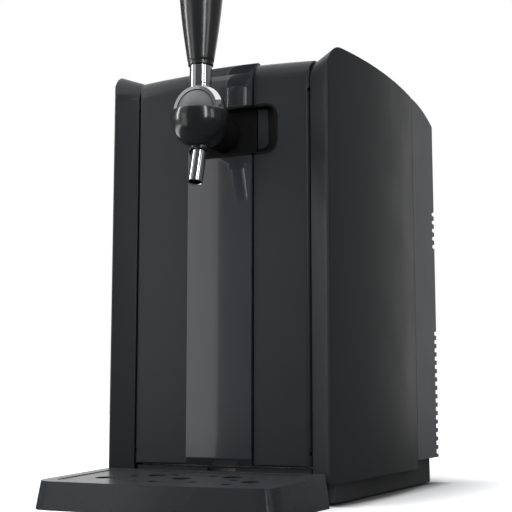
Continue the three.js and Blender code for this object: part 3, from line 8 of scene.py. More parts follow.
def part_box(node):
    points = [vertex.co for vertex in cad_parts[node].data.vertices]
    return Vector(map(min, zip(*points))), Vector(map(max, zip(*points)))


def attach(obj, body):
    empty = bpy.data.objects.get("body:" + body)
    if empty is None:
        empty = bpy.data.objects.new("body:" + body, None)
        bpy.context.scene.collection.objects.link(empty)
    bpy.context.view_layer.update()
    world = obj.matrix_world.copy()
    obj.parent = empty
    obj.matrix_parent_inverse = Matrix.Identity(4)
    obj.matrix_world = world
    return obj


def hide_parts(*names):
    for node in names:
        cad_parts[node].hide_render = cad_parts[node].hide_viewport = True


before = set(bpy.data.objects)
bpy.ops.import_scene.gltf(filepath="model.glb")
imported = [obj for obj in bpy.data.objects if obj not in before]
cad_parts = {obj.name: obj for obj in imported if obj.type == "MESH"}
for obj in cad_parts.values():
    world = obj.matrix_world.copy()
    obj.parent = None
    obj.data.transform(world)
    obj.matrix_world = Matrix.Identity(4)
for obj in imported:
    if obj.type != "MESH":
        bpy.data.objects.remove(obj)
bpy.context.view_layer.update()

# Camera, floor and studio light
# A long lens stands low at the right front. The sweep of pale paper is matt, so it keeps
# the machine's soft shadow. Large soft lamps stand at the left, above, and at the right.

mm = 0.001
scene = bpy.context.scene
scene.view_settings.view_transform = "Standard"


def tone(code):
    """Linear colour of an sRGB hex value."""
    parts = [int(code[i:i + 2], 16) / 255 for i in (1, 3, 5)]
    linear = [p / 12.92 if p <= 0.04045 else ((p + 0.055) / 1.055) ** 2.4 for p in parts]
    return (*linear, 1.0)


def put(tree, kind, inputs=None, links=None, **settings):
    """Adds one node with its settings, its input values and the sockets that feed it."""
    added = tree.nodes.new(kind)
    for name, value in settings.items():
        setattr(added, name, value)
    for name, value in (inputs or {}).items():
        added.inputs[name].default_value = value
    for name, source in (links or {}).items():
        tree.links.new(source, added.inputs[name])
    return added


camera_turn = radians(25.0262)
camera_tilt = radians(7.5642)
camera_data = bpy.data.cameras.new("camera")
camera_data.sensor_width = 36
camera_data.lens = 77.25
camera = bpy.data.objects.new("camera", camera_data)
camera.location = (0.48633, -1.0587, 0.09498)
looking = Vector((-sin(camera_turn) * cos(camera_tilt),
                  cos(camera_turn) * cos(camera_tilt),
                  sin(camera_tilt)))
camera.rotation_euler = looking.to_track_quat("-Z", "Y").to_euler()
scene.collection.objects.link(camera)
scene.camera = camera


def shown_rays(tree):
    """1 for rays whose end is seen: straight from the camera, mirrored, or through glass."""
    ray = put(tree, "ShaderNodeLightPath")
    mirror_ray = put(tree, "ShaderNodeMath", operation="MAXIMUM", links={
        0: ray.outputs["Is Glossy Ray"], 1: ray.outputs["Is Transmission Ray"]})
    shown_ray = put(tree, "ShaderNodeMath", operation="MAXIMUM", links={
        0: ray.outputs["Is Camera Ray"], 1: mirror_ray.outputs[0]})
    return shown_ray.outputs[0]


world = bpy.data.worlds.new("studio")
scene.world = world
world.use_nodes = True
sky = world.node_tree
sky.nodes.clear()
shown = shown_rays(sky)
fill = put(sky, "ShaderNodeBackground", inputs={"Color": tone("#f4f6fa"), "Strength": 0.38})
backdrop = put(sky, "ShaderNodeBackground", inputs={"Color": (1, 1, 1, 1), "Strength": 1.0})
chosen = put(sky, "ShaderNodeMixShader",
             links={0: shown, 1: fill.outputs[0], 2: backdrop.outputs[0]})
put(sky, "ShaderNodeOutputWorld", links={"Surface": chosen.outputs[0]})


def standing_card(azimuth, distance, height, low):
    """Place and direction of an upright card that faces the machine."""
    angle = radians(azimuth)
    place = Vector((distance * cos(angle), distance * sin(angle), low + height / 2))
    return place, Vector((-cos(angle), -sin(angle), 0)).to_track_quat("-Z", "Y")


def soft_lamp(name, azimuth, distance, width, height, low, radiance, dip=0):
    """A large soft lamp; dip is how far it looks down, in degrees."""
    place, facing = standing_card(azimuth, distance, height, low)
    data = bpy.data.lights.new(name, "AREA")
    data.shape = "RECTANGLE"
    data.size = width
    data.size_y = height
    data.energy = radiance * pi * width * height
    lamp = bpy.data.objects.new(name, data)
    lamp.location = place
    lamp.rotation_euler = (facing.to_matrix() @ Matrix.Rotation(-radians(dip), 3, "X")).to_euler()
    lamp.visible_glossy = False
    scene.collection.objects.link(lamp)


def mirror_card(name, azimuth, distance, width, height, low, levels):
    """A card for reflections alone; its level runs from the first edge to the second."""
    place, facing = standing_card(azimuth, distance, height, low)
    shape = bmesh.new()
    bmesh.ops.create_grid(shape, x_segments=1, y_segments=1, size=0.5)
    bmesh.ops.scale(shape, vec=(width, height, 1), verts=shape.verts)
    stand = Matrix.Translation(place) @ facing.to_matrix().to_4x4()
    bmesh.ops.transform(shape, matrix=stand, verts=shape.verts)
    mesh = bpy.data.meshes.new(name)
    shape.to_mesh(mesh)
    shape.free()
    card = bpy.data.objects.new(name, mesh)
    glow = bpy.data.materials.new(name)
    glow.use_nodes = True
    tree = glow.node_tree
    tree.nodes.clear()
    where = put(tree, "ShaderNodeTexCoord")
    along = put(tree, "ShaderNodeVectorMath", operation="DOT_PRODUCT",
                inputs={1: (-sin(radians(azimuth)), cos(radians(azimuth)), 0)},
                links={0: where.outputs["Object"]})
    level = put(tree, "ShaderNodeMapRange",
                inputs={"From Min": -width / 2, "From Max": width / 2,
                        "To Min": levels[0], "To Max": levels[1]},
                links={"Value": along.outputs["Value"]})
    lit = put(tree, "ShaderNodeEmission", inputs={"Color": (1, 1, 1, 1)},
              links={"Strength": level.outputs["Result"]})
    put(tree, "ShaderNodeOutputMaterial", links={"Surface": lit.outputs[0]})
    mesh.materials.append(glow)
    card.visible_camera = False
    card.visible_diffuse = False
    card.visible_transmission = False
    card.visible_shadow = False
    scene.collection.objects.link(card)
    return card


# The lamps light the matt surfaces, and the cards are what the glossy ones mirror. The numbers
# are the azimuth in degrees from +X, then in metres the distance, the width, the height and
# the lower edge, and last the lamp's radiance or the card's levels.
soft_lamp("left_softbox", -141, 1.75, 1.66, 1.7, 0.0, 2.5)
soft_lamp("high_softbox", -96, 1.0, 1.3, 1.1, 1.5, 4.4, dip=60)
soft_lamp("right_softbox", -35, 1.8, 0.9, 1.2, 0.5, 1.5)
soft_lamp("top_softbox", 100, 0.5, 1.6, 1.2, 1.3, 1.1, dip=70)
soft_lamp("overhead_softbox", -90, 0.55, 0.9, 0.9, 1.4, 3.6, dip=85)
mirror_card("left_panel", -123.5, 1.75, 0.49, 1.38, -0.6, (1.25, 0.95))
mirror_card("upper_left_screen", -123.5, 1.75, 0.49, 1.0, 0.78, (0.45, 0.45))
mirror_card("far_left_screen", -149, 1.75, 1.15, 2.3, -0.6, (0.32, 0.32))
mirror_card("left_tube", -155, 1.7, 0.22, 1.7, 0.45, (9.0, 9.0))
mirror_card("left_screen", 165, 2.3, 2.55, 2.9, -0.6, (0.1, 0.1))
mirror_card("near_screen", -112.4, 2.3, 0.45, 3.2, -0.6, (0.16, 0.06))
mirror_card("lens_screen", -80.5, 2.3, 2.3, 3.2, -0.6, (0.08, 0.08))
mirror_card("front_right_screen", -34, 2.3, 2.0, 3.2, -0.6, (0.09, 0.09))
mirror_card("right_tube", -45, 1.7, 0.22, 1.6, 0.3, (9.0, 6.0))
mirror_card("right_edge_tube", -20, 1.7, 0.34, 0.95, 0.35, (2.6, 1.4))
mirror_card("right_screen", 28, 2.3, 4.2, 2.9, -0.6, (0.12, 0.22))
mirror_card("rear_right_panel", 95, 2.6, 2.6, 2.9, -0.6, (0.35, 0.95))


def floor_card(name, edge, height, level):
    """A card that lies on the floor, for reflections alone."""
    card = mirror_card(name, -90, 1, 1, 1, 0, (level, level))
    shape = bmesh.new()
    shape.faces.new([shape.verts.new((x, y, height)) for x, y in edge])
    shape.to_mesh(card.data)
    shape.free()


# Dark cloth lies round the machine, and pale card to the front left, where the strip mirrors
# the floor. The two meet along one slanting line.
near_end, far_end = (-0.334, -0.75), (-1.175, -2.4)
floor_card("floor_cloth", [(-0.9, 2), (-0.9, -0.75), near_end, far_end, (3, -2.4), (3, 3.5)],
           0.0002, 0.08)
floor_card("floor_reflector", [near_end, (-3, -0.75), (-3, -2.4), far_end], 0.0003, 0.86)

floor_shape = bmesh.new()
bmesh.ops.create_grid(floor_shape, x_segments=1, y_segments=1, size=6)
floor_mesh = bpy.data.meshes.new("floor")
floor_shape.to_mesh(floor_mesh)
floor_shape.free()
floor = bpy.data.objects.new("floor", floor_mesh)
scene.collection.objects.link(floor)

# The paper is white to the lens. Its whiteness fades in with the distance from the machine's
# footprint, so that the contact shadow stays dark and the wide one soft.
footprint_middle = (0, 0.07, 0)
footprint_half = (0.12, 0.16, 0)
paper = bpy.data.materials.new("matt_white_paper")
paper.use_nodes = True
sheet = paper.node_tree
sheet.nodes.clear()
shown = shown_rays(sheet)
matt = put(sheet, "ShaderNodeBsdfDiffuse", inputs={"Color": tone("#f4f4f4")})
spot = put(sheet, "ShaderNodeTexCoord")
centred = put(sheet, "ShaderNodeVectorMath", operation="SUBTRACT",
              inputs={1: footprint_middle}, links={0: spot.outputs["Object"]})
folded = put(sheet, "ShaderNodeVectorMath", operation="ABSOLUTE",
             links={0: centred.outputs["Vector"]})
beyond = put(sheet, "ShaderNodeVectorMath", operation="SUBTRACT",
             inputs={1: footprint_half}, links={0: folded.outputs["Vector"]})
outside = put(sheet, "ShaderNodeVectorMath", operation="MAXIMUM",
              links={0: beyond.outputs["Vector"]})
reach = put(sheet, "ShaderNodeVectorMath", operation="LENGTH",
            links={0: outside.outputs["Vector"]}).outputs["Value"]
close = put(sheet, "ShaderNodeMapRange", links={"Value": reach},
            inputs={"From Min": 0.01, "From Max": 0.1, "To Min": 0.0, "To Max": 0.38})
apart = put(sheet, "ShaderNodeMapRange", links={"Value": reach},
            inputs={"From Min": 0.05, "From Max": 0.7, "To Min": 0.0, "To Max": 0.57})
level = put(sheet, "ShaderNodeMath", operation="ADD",
            links={0: close.outputs["Result"], 1: apart.outputs["Result"]})
# Under the footprint and within 22 mm of it the paper's own colour is darkened: a painted contact
# shadow.
painted_contact_shadow = put(sheet, "ShaderNodeMapRange", links={"Value": reach},
           inputs={"From Min": 0.0, "From Max": 0.022, "To Min": 0.35, "To Max": 0.95})
shaded = put(sheet, "ShaderNodeBsdfDiffuse", links={"Color": painted_contact_shadow.outputs["Result"]})
lifted = put(sheet, "ShaderNodeEmission", inputs={"Color": (1, 1, 1, 1)},
             links={"Strength": level.outputs[0]})
white = put(sheet, "ShaderNodeAddShader", links={0: shaded.outputs[0], 1: lifted.outputs[0]})
chosen = put(sheet, "ShaderNodeMixShader",
             links={0: shown, 1: matt.outputs[0], 2: white.outputs[0]})
put(sheet, "ShaderNodeOutputMaterial", links={"Surface": chosen.outputs[0]})
floor_mesh.materials.append(paper)

# Base plinth and feet
# The plinth is one moulding in matt black ABS, set in under the machine. Four rubber feet
# push into holes in its floor. Sizes are in millimetres, here and in all that follows.


def new_finish(name):
    """A new material, its node tree, its shader, and the socket of the object's coordinates."""
    made = bpy.data.materials.new(name)
    made.use_nodes = True
    tree = made.node_tree
    where = put(tree, "ShaderNodeTexCoord").outputs["Object"]
    return made, tree, tree.nodes["Principled BSDF"], where


def plastic(name, shades, grain, relief, roughness, ior=1.5, coat=0.0, polish=0.03, painted_top_light=None):
    """Moulded plastic: two near shades in clouds 70 mm across, a tool texture, uneven sheen.

    The texture is as wide as grain and as deep as relief; the last colour is painted on the faces
    that look up, as painted light from above.
    """
    made, tree, shader, where = new_finish(name)
    shader.inputs["IOR"].default_value = ior
    shader.inputs["Coat Weight"].default_value = coat
    shader.inputs["Coat Roughness"].default_value = polish
    clouds = put(tree, "ShaderNodeTexNoise", links={"Vector": where},
                 inputs={"Scale": 14.0, "Detail": 3.0, "Roughness": 0.55})
    colour = put(tree, "ShaderNodeMix", data_type="RGBA", links={0: clouds.outputs["Fac"]},
                 inputs={6: tone(shades[0]), 7: tone(shades[1])})
    # Faces that look up blend to the given colour: painted light from above.
    if painted_top_light:
        facing = put(tree, "ShaderNodeNewGeometry")
        upward = put(tree, "ShaderNodeSeparateXYZ", links={0: facing.outputs["Normal"]})
        lit_from_above = put(tree, "ShaderNodeMapRange", links={"Value": upward.outputs["Z"]},
                      inputs={"From Min": 0.5, "From Max": 0.98})
        colour = put(tree, "ShaderNodeMix", data_type="RGBA", inputs={7: tone(painted_top_light)},
                     links={0: lit_from_above.outputs["Result"], 6: colour.outputs[2]})
    tree.links.new(colour.outputs[2], shader.inputs["Base Color"])
    pits = put(tree, "ShaderNodeTexNoise", links={"Vector": where},
               inputs={"Scale": 1 / grain, "Detail": 2.0, "Roughness": 0.6})
    sheen = put(tree, "ShaderNodeMapRange", links={"Value": clouds.outputs["Fac"]},
                inputs={"From Min": 0.3, "From Max": 0.7,
                        "To Min": roughness[0], "To Max": roughness[1]})
    tree.links.new(sheen.outputs["Result"], shader.inputs["Roughness"])
    bump = put(tree, "ShaderNodeBump", links={"Height": pits.outputs["Fac"]},
               inputs={"Strength": 1.0, "Distance": relief})
    tree.links.new(bump.outputs["Normal"], shader.inputs["Normal"])
    return made


def eased(shape, width, sharp=30, segments=2):
    """Rounds the edges that turn by more than the sharp angle."""
    corners = [edge for edge in shape.edges
               if len(edge.link_faces) == 2 and edge.calc_face_angle(0) > radians(sharp)]
    bmesh.ops.bevel(shape, geom=corners, offset=width, segments=segments, profile=0.5,
                    affect="EDGES", clamp_overlap=True, material=-1)
    return shape


def piece(name, shape, finish, body, *nodes, slot):
    """Makes an object of the shape, in its finish, on its body and in place of its nodes."""
    mesh = bpy.data.meshes.new(name)
    shape.to_mesh(mesh)
    shape.free()
    mesh.polygons.foreach_set("use_smooth", [True] * len(mesh.polygons))
    mesh.set_sharp_from_angle(angle=radians(32))
    mesh.materials.append(finish)
    made = bpy.data.objects.new(name, mesh)
    scene.collection.objects.link(made)
    evened = made.modifiers.new("evened", "WEIGHTED_NORMAL")
    evened.keep_sharp = True
    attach(made, body)
    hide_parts(*nodes)


def moulding(node, finish, body, slot, edge, kind="moulding", segments=2, pierced=False):
    """The node's own form with its edges rounded.

    Its flat faces are joined first, unless they are pierced: joined, they would tear there.
    """
    shape = bmesh.new()
    shape.from_mesh(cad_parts[node].data)
    bmesh.ops.remove_doubles(shape, verts=shape.verts, dist=2e-6)
    if not pierced:
        bmesh.ops.dissolve_limit(shape, angle_limit=radians(0.5),
                                 verts=shape.verts, edges=shape.edges)
    eased(shape, edge, segments=segments)
    piece(f"{node}_{kind}", shape, finish, body, node, slot=slot)


def turned(points, steps=64):
    """A closed form turned about the vertical axis from a profile of [radius, height] points."""
    shape = bmesh.new()
    rim = [shape.verts.new((r * mm, 0, z * mm)) for r, z in points]
    line = [shape.edges.new(pair) for pair in zip(rim, rim[1:])]
    bmesh.ops.spin(shape, geom=rim + line, cent=(0, 0, 0), axis=(0, 0, 1), dvec=(0, 0, 0),
                   angle=2 * pi, steps=steps, use_merge=True, use_normal_flip=False,
                   use_duplicate=False)
    bmesh.ops.remove_doubles(shape, verts=shape.verts, dist=1e-6)
    bmesh.ops.recalc_face_normals(shape, faces=shape.faces)
    return shape


def moved(shape, place, turn=None):
    """Turns a shape about the origin and carries it to its place."""
    change = Matrix.Translation(place) @ (turn or Matrix.Identity(4))
    bmesh.ops.transform(shape, matrix=change, verts=shape.verts)
    return shape


# Matt ABS scatters the light, so the plinth stays a dark line under the body.
matt_abs = plastic("matt_black_abs", ("#262729", "#2b2c2e"), 1.2 * mm, 0.03 * mm, (0.55, 0.7))
moulding("base_plinth", matt_abs, "machine", "matte_black", 0.6 * mm)

# Rubber takes a powdery bloom, which lightens it in patches.
foot_rubber = plastic("moulded_rubber", ("#121212", "#1c1c1b"), 0.9 * mm, 0.05 * mm, (0.8, 0.95))
foot_profile = [[0, 0], [9.5, 0], [10, 0.5], [10.6, 0.5], [11.2, 0], [12, 0.6], [12, 2.0],
                [11.6, 2.2], [4, 2.2], [4, 5], [4.4, 5.4], [3.4, 5.85], [0, 5.85]]
for number in range(1, 5):
    low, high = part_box(f"rubber_foot_{number}")
    middle = (low + high) / 2
    foot = moved(turned(foot_profile, 40), Vector((middle.x, middle.y, 0)))
    piece(f"rubber_foot_{number}_pad", foot, foot_rubber, "machine",
          f"rubber_foot_{number}", slot="black_rubber")

# Side covers
# Each cover is a bowed ABS shell with a bevelled front, painted satin grey. It hooks
# over the edge of the plinth's deck and is held at the back by the rear housing.

# Satin paint over a fine spark texture gives a soft sheen with no sharp reflection.
satin_abs = plastic("satin_painted_abs", ("#1f2123", "#222426"), 1.0 * mm, 0.012 * mm,
                    (0.36, 0.42), ior=1.42)
for side in ("left", "right"):
    moulding(f"{side}_side_cover", satin_abs, "machine", "satin_grey", 1.0 * mm, segments=3)

# Rear housing
# One deep moulding closes the back. Its corners are slotted for the warm air, and four
# zinc-plated screws hold it to the frame.

# Its bare ABS has a deeper spark texture than the painted covers and is paler. Its colour is
# raised further to stand in for the sheen its sides show at a grazing view: painted sheen.
textured_abs = plastic("spark_textured_abs", ("#4b4c4e", "#515254"), 0.9 * mm, 0.02 * mm,
                       (0.36, 0.42), ior=1.55)
moulding("rear_housing", textured_abs, "machine", "satin_grey", 0.4 * mm, pierced=True)


def metal(name, shades, roughness, stretch=(1, 1, 1), grain=0.6 * mm, relief=0.004 * mm):
    """Bare or plated metal; the stretch draws its grain out into brush or turning lines."""
    made, tree, shader, where = new_finish(name)
    shader.inputs["Metallic"].default_value = 1.0
    drawn = put(tree, "ShaderNodeMapping", inputs={"Scale": stretch}, links={"Vector": where})
    lines = put(tree, "ShaderNodeTexNoise", links={"Vector": drawn.outputs["Vector"]},
                inputs={"Scale": 1 / grain, "Detail": 3.0, "Roughness": 0.6})
    colour = put(tree, "ShaderNodeMix", data_type="RGBA", links={0: lines.outputs["Fac"]},
                 inputs={6: tone(shades[0]), 7: tone(shades[1])})
    tree.links.new(colour.outputs[2], shader.inputs["Base Color"])
    sheen = put(tree, "ShaderNodeMapRange", links={"Value": lines.outputs["Fac"]},
                inputs={"From Min": 0.3, "From Max": 0.7,
                        "To Min": roughness[0], "To Max": roughness[1]})
    tree.links.new(sheen.outputs["Result"], shader.inputs["Roughness"])
    bump = put(tree, "ShaderNodeBump", links={"Height": lines.outputs["Fac"]},
               inputs={"Strength": 1.0, "Distance": relief})
    tree.links.new(bump.outputs["Normal"], shader.inputs["Normal"])
    return made


def combined(base, tool, operation):
    """Joins, cuts or keeps what two closed shapes share."""
    parts = []
    for shape in (base, tool):
        mesh = bpy.data.meshes.new("blank")
        shape.to_mesh(mesh)
        shape.free()
        part = bpy.data.objects.new("blank", mesh)
        scene.collection.objects.link(part)
        parts.append(part)
    change = parts[0].modifiers.new("change", "BOOLEAN")
    change.object = parts[1]
    change.operation = operation
    change.solver = "EXACT"
    result = bmesh.new()
    result.from_object(parts[0], bpy.context.evaluated_depsgraph_get())
    for part in parts:
        bpy.data.meshes.remove(part.data)
    bmesh.ops.remove_doubles(result, verts=result.verts, dist=1e-6)
    return result


def point(x, y, z):
    """A point in the machine's frame, whose origin is under its middle, on the table."""
    return Vector((x, y, z)) * mm


def brick(low, high):
    """A block between two corners."""
    shape = bmesh.new()
    bmesh.ops.create_cube(shape, size=1)
    bmesh.ops.scale(shape, vec=high - low, verts=shape.verts)
    bmesh.ops.translate(shape, vec=(low + high) / 2, verts=shape.verts)
    return shape


# Zinc plate on the screw heads is pale and slightly blue. Each screw stops at its own angle.
zinc = metal("zinc_plated_steel", ("#9fa3a8", "#b4b8bd"), (0.28, 0.42))
to_rear = Matrix.Rotation(-pi / 2, 4, "X")
head_height = 2
screw_profile = [[0, -8], [1.2, -8], [1.7, -7], [1.7, 0.3], [3.6, 0.3], [3.6, 1.0],
                 [3.1, 1.6], [2.2, 1.95], [0, head_height]]
for number in range(1, 5):
    low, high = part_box(f"rear_screw_{number}")
    middle = (low + high) / 2
    screw = turned(screw_profile, 32)
    for angle in (0, pi / 2):
        groove = brick(point(-2.2, -0.4, 0.9), point(2.2, 0.4, 3))
        stop = Matrix.Rotation(angle + radians(20 * number), 3, "Z")
        bmesh.ops.rotate(groove, cent=(0, 0, 0), matrix=stop, verts=groove.verts)
        screw = combined(screw, groove, "DIFFERENCE")
    moved(screw, Vector((middle.x, high.y - head_height * mm, middle.z)), to_rear)
    piece(f"rear_screw_{number}_head", screw, zinc, "machine",
          f"rear_screw_{number}", slot="steel")

# Top cover, window and button
# The top is a thin crowned sheet between the covers. A smoked window lies flush in it
# over the display, and the power button stands a little proud of its sleeve.

moulding("top_cover", satin_abs, "machine", "satin_grey", 0.6 * mm)

# Smoked acrylic is almost black and polished, so the unlit display behind it doesn't show.
smoked_acrylic = plastic("smoked_acrylic", ("#0b0c0e", "#0e0f11"), 3 * mm, 0.001 * mm,
                         (0.06, 0.1), ior=1.49)
moulding("display_window", smoked_acrylic, "machine", "gloss_black", 0.3 * mm, kind="pane")


def circuit_board(name):
    """Green solder mask over copper: winding raised tracks, and tinned pads every 5 mm.

    The tracks are about 8 mm apart where they run straight. Real ones are finer: these are
    drawn as coarse as they need to be to show.
    """
    made, tree, shader, where = new_finish(name)
    paths = put(tree, "ShaderNodeTexWave", links={"Vector": where},
                inputs={"Scale": 38.0, "Distortion": 9.0, "Detail": 0.0})
    raised = put(tree, "ShaderNodeMapRange", links={"Value": paths.outputs["Fac"]},
                 inputs={"From Min": 0.45, "From Max": 0.55})
    dots = put(tree, "ShaderNodeTexVoronoi", links={"Vector": where},
               inputs={"Scale": 200.0, "Randomness": 0.35})
    pads = put(tree, "ShaderNodeMath", operation="LESS_THAN", inputs={1: 0.16},
               links={0: dots.outputs["Distance"]})
    mask = put(tree, "ShaderNodeMix", data_type="RGBA", links={0: raised.outputs["Result"]},
               inputs={6: tone("#174a2f"), 7: tone("#23663f")})
    colour = put(tree, "ShaderNodeMix", data_type="RGBA", inputs={7: tone("#b3b6b8")},
                 links={0: pads.outputs[0], 6: mask.outputs[2]})
    tree.links.new(colour.outputs[2], shader.inputs["Base Color"])
    tree.links.new(pads.outputs[0], shader.inputs["Metallic"])
    shader.inputs["Roughness"].default_value = 0.34
    bump = put(tree, "ShaderNodeBump", links={"Height": raised.outputs["Result"]},
               inputs={"Strength": 1.0, "Distance": 0.04 * mm})
    tree.links.new(bump.outputs["Normal"], shader.inputs["Normal"])
    return made


# The display's card hangs under the window; it carries the display and the button's switch.
board_green = circuit_board("solder_masked_board")
board_thickness = 1.6
low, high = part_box("display_board")
card = brick(low, Vector((high.x, high.y, low.z + board_thickness * mm)))
piece("display_board_card", eased(card, 0.2 * mm), board_green, "machine",
      "display_board", slot="green_board")

# Black epoxy round the display's segments is smooth and a little waxy.
epoxy = plastic("black_epoxy", ("#101113", "#141517"), 2 * mm, 0.002 * mm, (0.25, 0.35))
screen = brick(point(-22, -46, 419), point(22, -24, 426.2))
piece("display_board_screen", eased(screen, 0.5 * mm), epoxy, "machine",
      "display_board", slot="gloss_black")
switch = turned([[0, 419], [3.9, 419], [3.9, 422.4], [3.5, 422.8], [2, 422.8], [2, 424.8],
                 [1.7, 425.1], [0, 425.1]], 32)
piece("display_board_switch", moved(switch, point(60, -35, 0)), matt_abs, "machine",
      "display_board", slot="matte_black")

# Polished black ABS mirrors the room softly, in a clear gloss with a slight haze.
gloss_abs = plastic("gloss_black_abs", ("#18191b", "#1b1c1e"), 2 * mm, 0.001 * mm,
                    (0.28, 0.34), coat=1.0, polish=0.2)
moulding("power_button", gloss_abs, "button", "gloss_black", 0.3 * mm, kind="key")

# Keg chamber
# The keg stands in a round-backed tub of white polystyrene, vacuum formed and set in a foam
# block. A rubber seal rings its mouth, and a black plastic ring on its floor centres the keg.

# High-impact polystyrene is off-white with a low satin sheen.
white_hips = plastic("white_polystyrene", ("#d8dadb", "#dee0e0"), 1.4 * mm, 0.02 * mm,
                     (0.38, 0.48))
moulding("chamber_liner", white_hips, "machine", "white_plastic", 0.8 * mm, kind="tub")


def bead_foam(name, bead):
    """Fused foam beads: each one domes a little, is its own shade, and leaves a dark seam."""
    made, tree, shader, where = new_finish(name)
    beads = put(tree, "ShaderNodeTexVoronoi", inputs={"Scale": 1 / bead},
                links={"Vector": where})
    seams = put(tree, "ShaderNodeTexVoronoi", feature="DISTANCE_TO_EDGE",
                inputs={"Scale": 1 / bead}, links={"Vector": where})
    shade = put(tree, "ShaderNodeSeparateColor", links={0: beads.outputs["Color"]})
    colour = put(tree, "ShaderNodeMix", data_type="RGBA", links={0: shade.outputs[0]},
                 inputs={6: tone("#d9d9d4"), 7: tone("#e4e4df")})
    groove = put(tree, "ShaderNodeMapRange", links={"Value": seams.outputs["Distance"]},
                 inputs={"From Min": 0.0, "From Max": 0.12})
    joined = put(tree, "ShaderNodeMix", data_type="RGBA", inputs={6: tone("#bdbdb7")},
                 links={0: groove.outputs["Result"], 7: colour.outputs[2]})
    tree.links.new(joined.outputs[2], shader.inputs["Base Color"])
    shader.inputs["Roughness"].default_value = 0.9
    bump = put(tree, "ShaderNodeBump", links={"Height": groove.outputs["Result"]},
               inputs={"Strength": 1.0, "Distance": 0.3 * mm})
    tree.links.new(bump.outputs["Normal"], shader.inputs["Normal"])
    return made


# Expanded polystyrene shows its 4 mm beads, pressed flat against the mould.
foam = bead_foam("expanded_polystyrene", 4 * mm)
moulding("chamber_insulation", foam, "machine", "white_foam", 1.0 * mm, kind="foam")
moulding("mouth_gasket", foot_rubber, "machine", "black_rubber", 0.6 * mm, kind="seal")
moulding("keg_support", matt_abs, "machine", "matte_black", 0.6 * mm, kind="ring")

# Turned brass is warm and bright, with a fine grain from the tool.
brass = metal("turned_brass", ("#ab8a48", "#bd9a55"), (0.22, 0.34))
moulding("air_nozzle", brass, "machine", "brass", 0.2 * mm, kind="tube")

# Cooler
# A thermoelectric tile is clamped between a cold plate, let through the foam onto the tub,
# and a finned heat sink. An axial fan, screwed to the fins, blows the heat out at the back.

# Extruded aluminium keeps die lines along its fins, which streak its sheen.
aluminium = metal("extruded_aluminium", ("#b0b3b7", "#c2c5c8"), (0.3, 0.42),
                  stretch=(8, 8, 0.4))
moulding("cold_plate", aluminium, "machine", "aluminium", 0.5 * mm, kind="block")

# Fired alumina is chalk white and quite matt.
ceramic = plastic("alumina_ceramic", ("#ececec", "#f2f2f0"), 1 * mm, 0.01 * mm, (0.5, 0.6))
moulding("thermoelectric_module", ceramic, "machine", "white_ceramic", 0.2 * mm, kind="tile")
moulding("heat_sink", aluminium, "machine", "aluminium", 0.3 * mm, kind="extrusion")
moulding("fan_frame", matt_abs, "machine", "matte_black", 0.6 * mm, kind="casing")
moulding("fan_rotor", matt_abs, "fan", "matte_black", 0.4 * mm, kind="blades")

# Electrics
# The mains comes in through a three-pin socket, low at the back, to a power supply on pillars
# behind the foam. A small pump on a pressed foot feeds the keg through a thin hose.

pillar_end, board_face = 142.8, 144.4
card = brick(point(-55, pillar_end, 200), point(55, board_face, 310))
piece("power_supply_board_card", eased(card, 0.2 * mm), board_green, "machine",
      "power_supply_board", slot="green_board")


def stretch_of(node, *planes):
    """The part of a node's form behind every plane [point, direction], closed at each cut."""
    shape = bmesh.new()
    shape.from_mesh(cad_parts[node].data)
    bmesh.ops.remove_doubles(shape, verts=shape.verts, dist=2e-6)
    for place, direction in planes:
        whole = shape.verts[:] + shape.edges[:] + shape.faces[:]
        cut = bmesh.ops.bisect_plane(shape, geom=whole, plane_co=Vector(place) * mm,
                                     plane_no=direction, clear_outer=True)
        rim = [part for part in cut["geom_cut"] if isinstance(part, bmesh.types.BMEdge)]
        bmesh.ops.holes_fill(shape, edges=rim, sides=0)
    bmesh.ops.dissolve_limit(shape, angle_limit=radians(0.5), verts=shape.verts,
                             edges=shape.edges)
    return shape


# Nylon pillars snap into the board; nylon is milky and slightly waxy.
nylon = plastic("natural_nylon", ("#d3d1c8", "#dbd9d0"), 1 * mm, 0.005 * mm, (0.4, 0.5))
pillars = stretch_of("power_supply_board", [(0, pillar_end, 0), (0, 1, 0)])
piece("power_supply_board_pillars", pillars, nylon, "machine",
      "power_supply_board", slot="white_plastic")

# The transformer's core is stacked from sheets of dark steel 0.5 mm thick, drawn here at
# 1 mm so that they show.
laminations = metal("laminated_core_steel", ("#3a3c3f", "#565a5e"), (0.45, 0.6),
                    stretch=(0.02, 1, 0.02), grain=1 * mm)
core = brick(point(-49, 148, 206), point(-5, 168, 250))
piece("transformer_core", eased(core, 0.4 * mm), laminations, "machine",
      "power_supply_board", slot="steel")

# Polyester tape holds the winding; it is amber, thin and glossy.
tape = plastic("polyester_winding_tape", ("#b98a2c", "#c79738"), 2 * mm, 0.02 * mm,
               (0.18, 0.26))
for near, far in ((board_face, 148.4), (167.6, 172.4)):
    winding = brick(point(-44, near, 213), point(-10, far, 243))
    piece(f"transformer_winding_{int(near)}", eased(winding, 1.4 * mm, segments=4), tape,
          "machine", "power_supply_board", slot="green_board")

# Shrunk vinyl sleeves the capacitor cans; the bare crimped top is bright aluminium.
vinyl = plastic("shrunk_vinyl_sleeve", ("#16202f", "#1b2738"), 2 * mm, 0.004 * mm,
                (0.22, 0.3))
can = [[0, 0.2], [8.4, 0.2], [8.9, 0.8], [8.9, 2.6], [8.3, 3.2], [8.9, 3.8], [9, 4.2],
       [9, 23], [8.7, 23.7], [8, 24], [7.4, 23.6], [0, 23.6]]
lid = [[0, 23.3], [7.5, 23.3], [7.5, 23.8], [7.1, 23.95], [0, 23.95]]
lowest_can, can_pitch = 215, 21.6
for number in range(3):
    place = point(14.667, 144.2, lowest_can + can_pitch * number)
    piece(f"capacitor_{number + 1}_sleeve", moved(turned(can, 40), place, to_rear), vinyl,
          "machine", "power_supply_board", slot="gloss_black")
    piece(f"capacitor_{number + 1}_top", moved(turned(lid, 40), place, to_rear), aluminium,
          "machine", "power_supply_board", slot="aluminium")

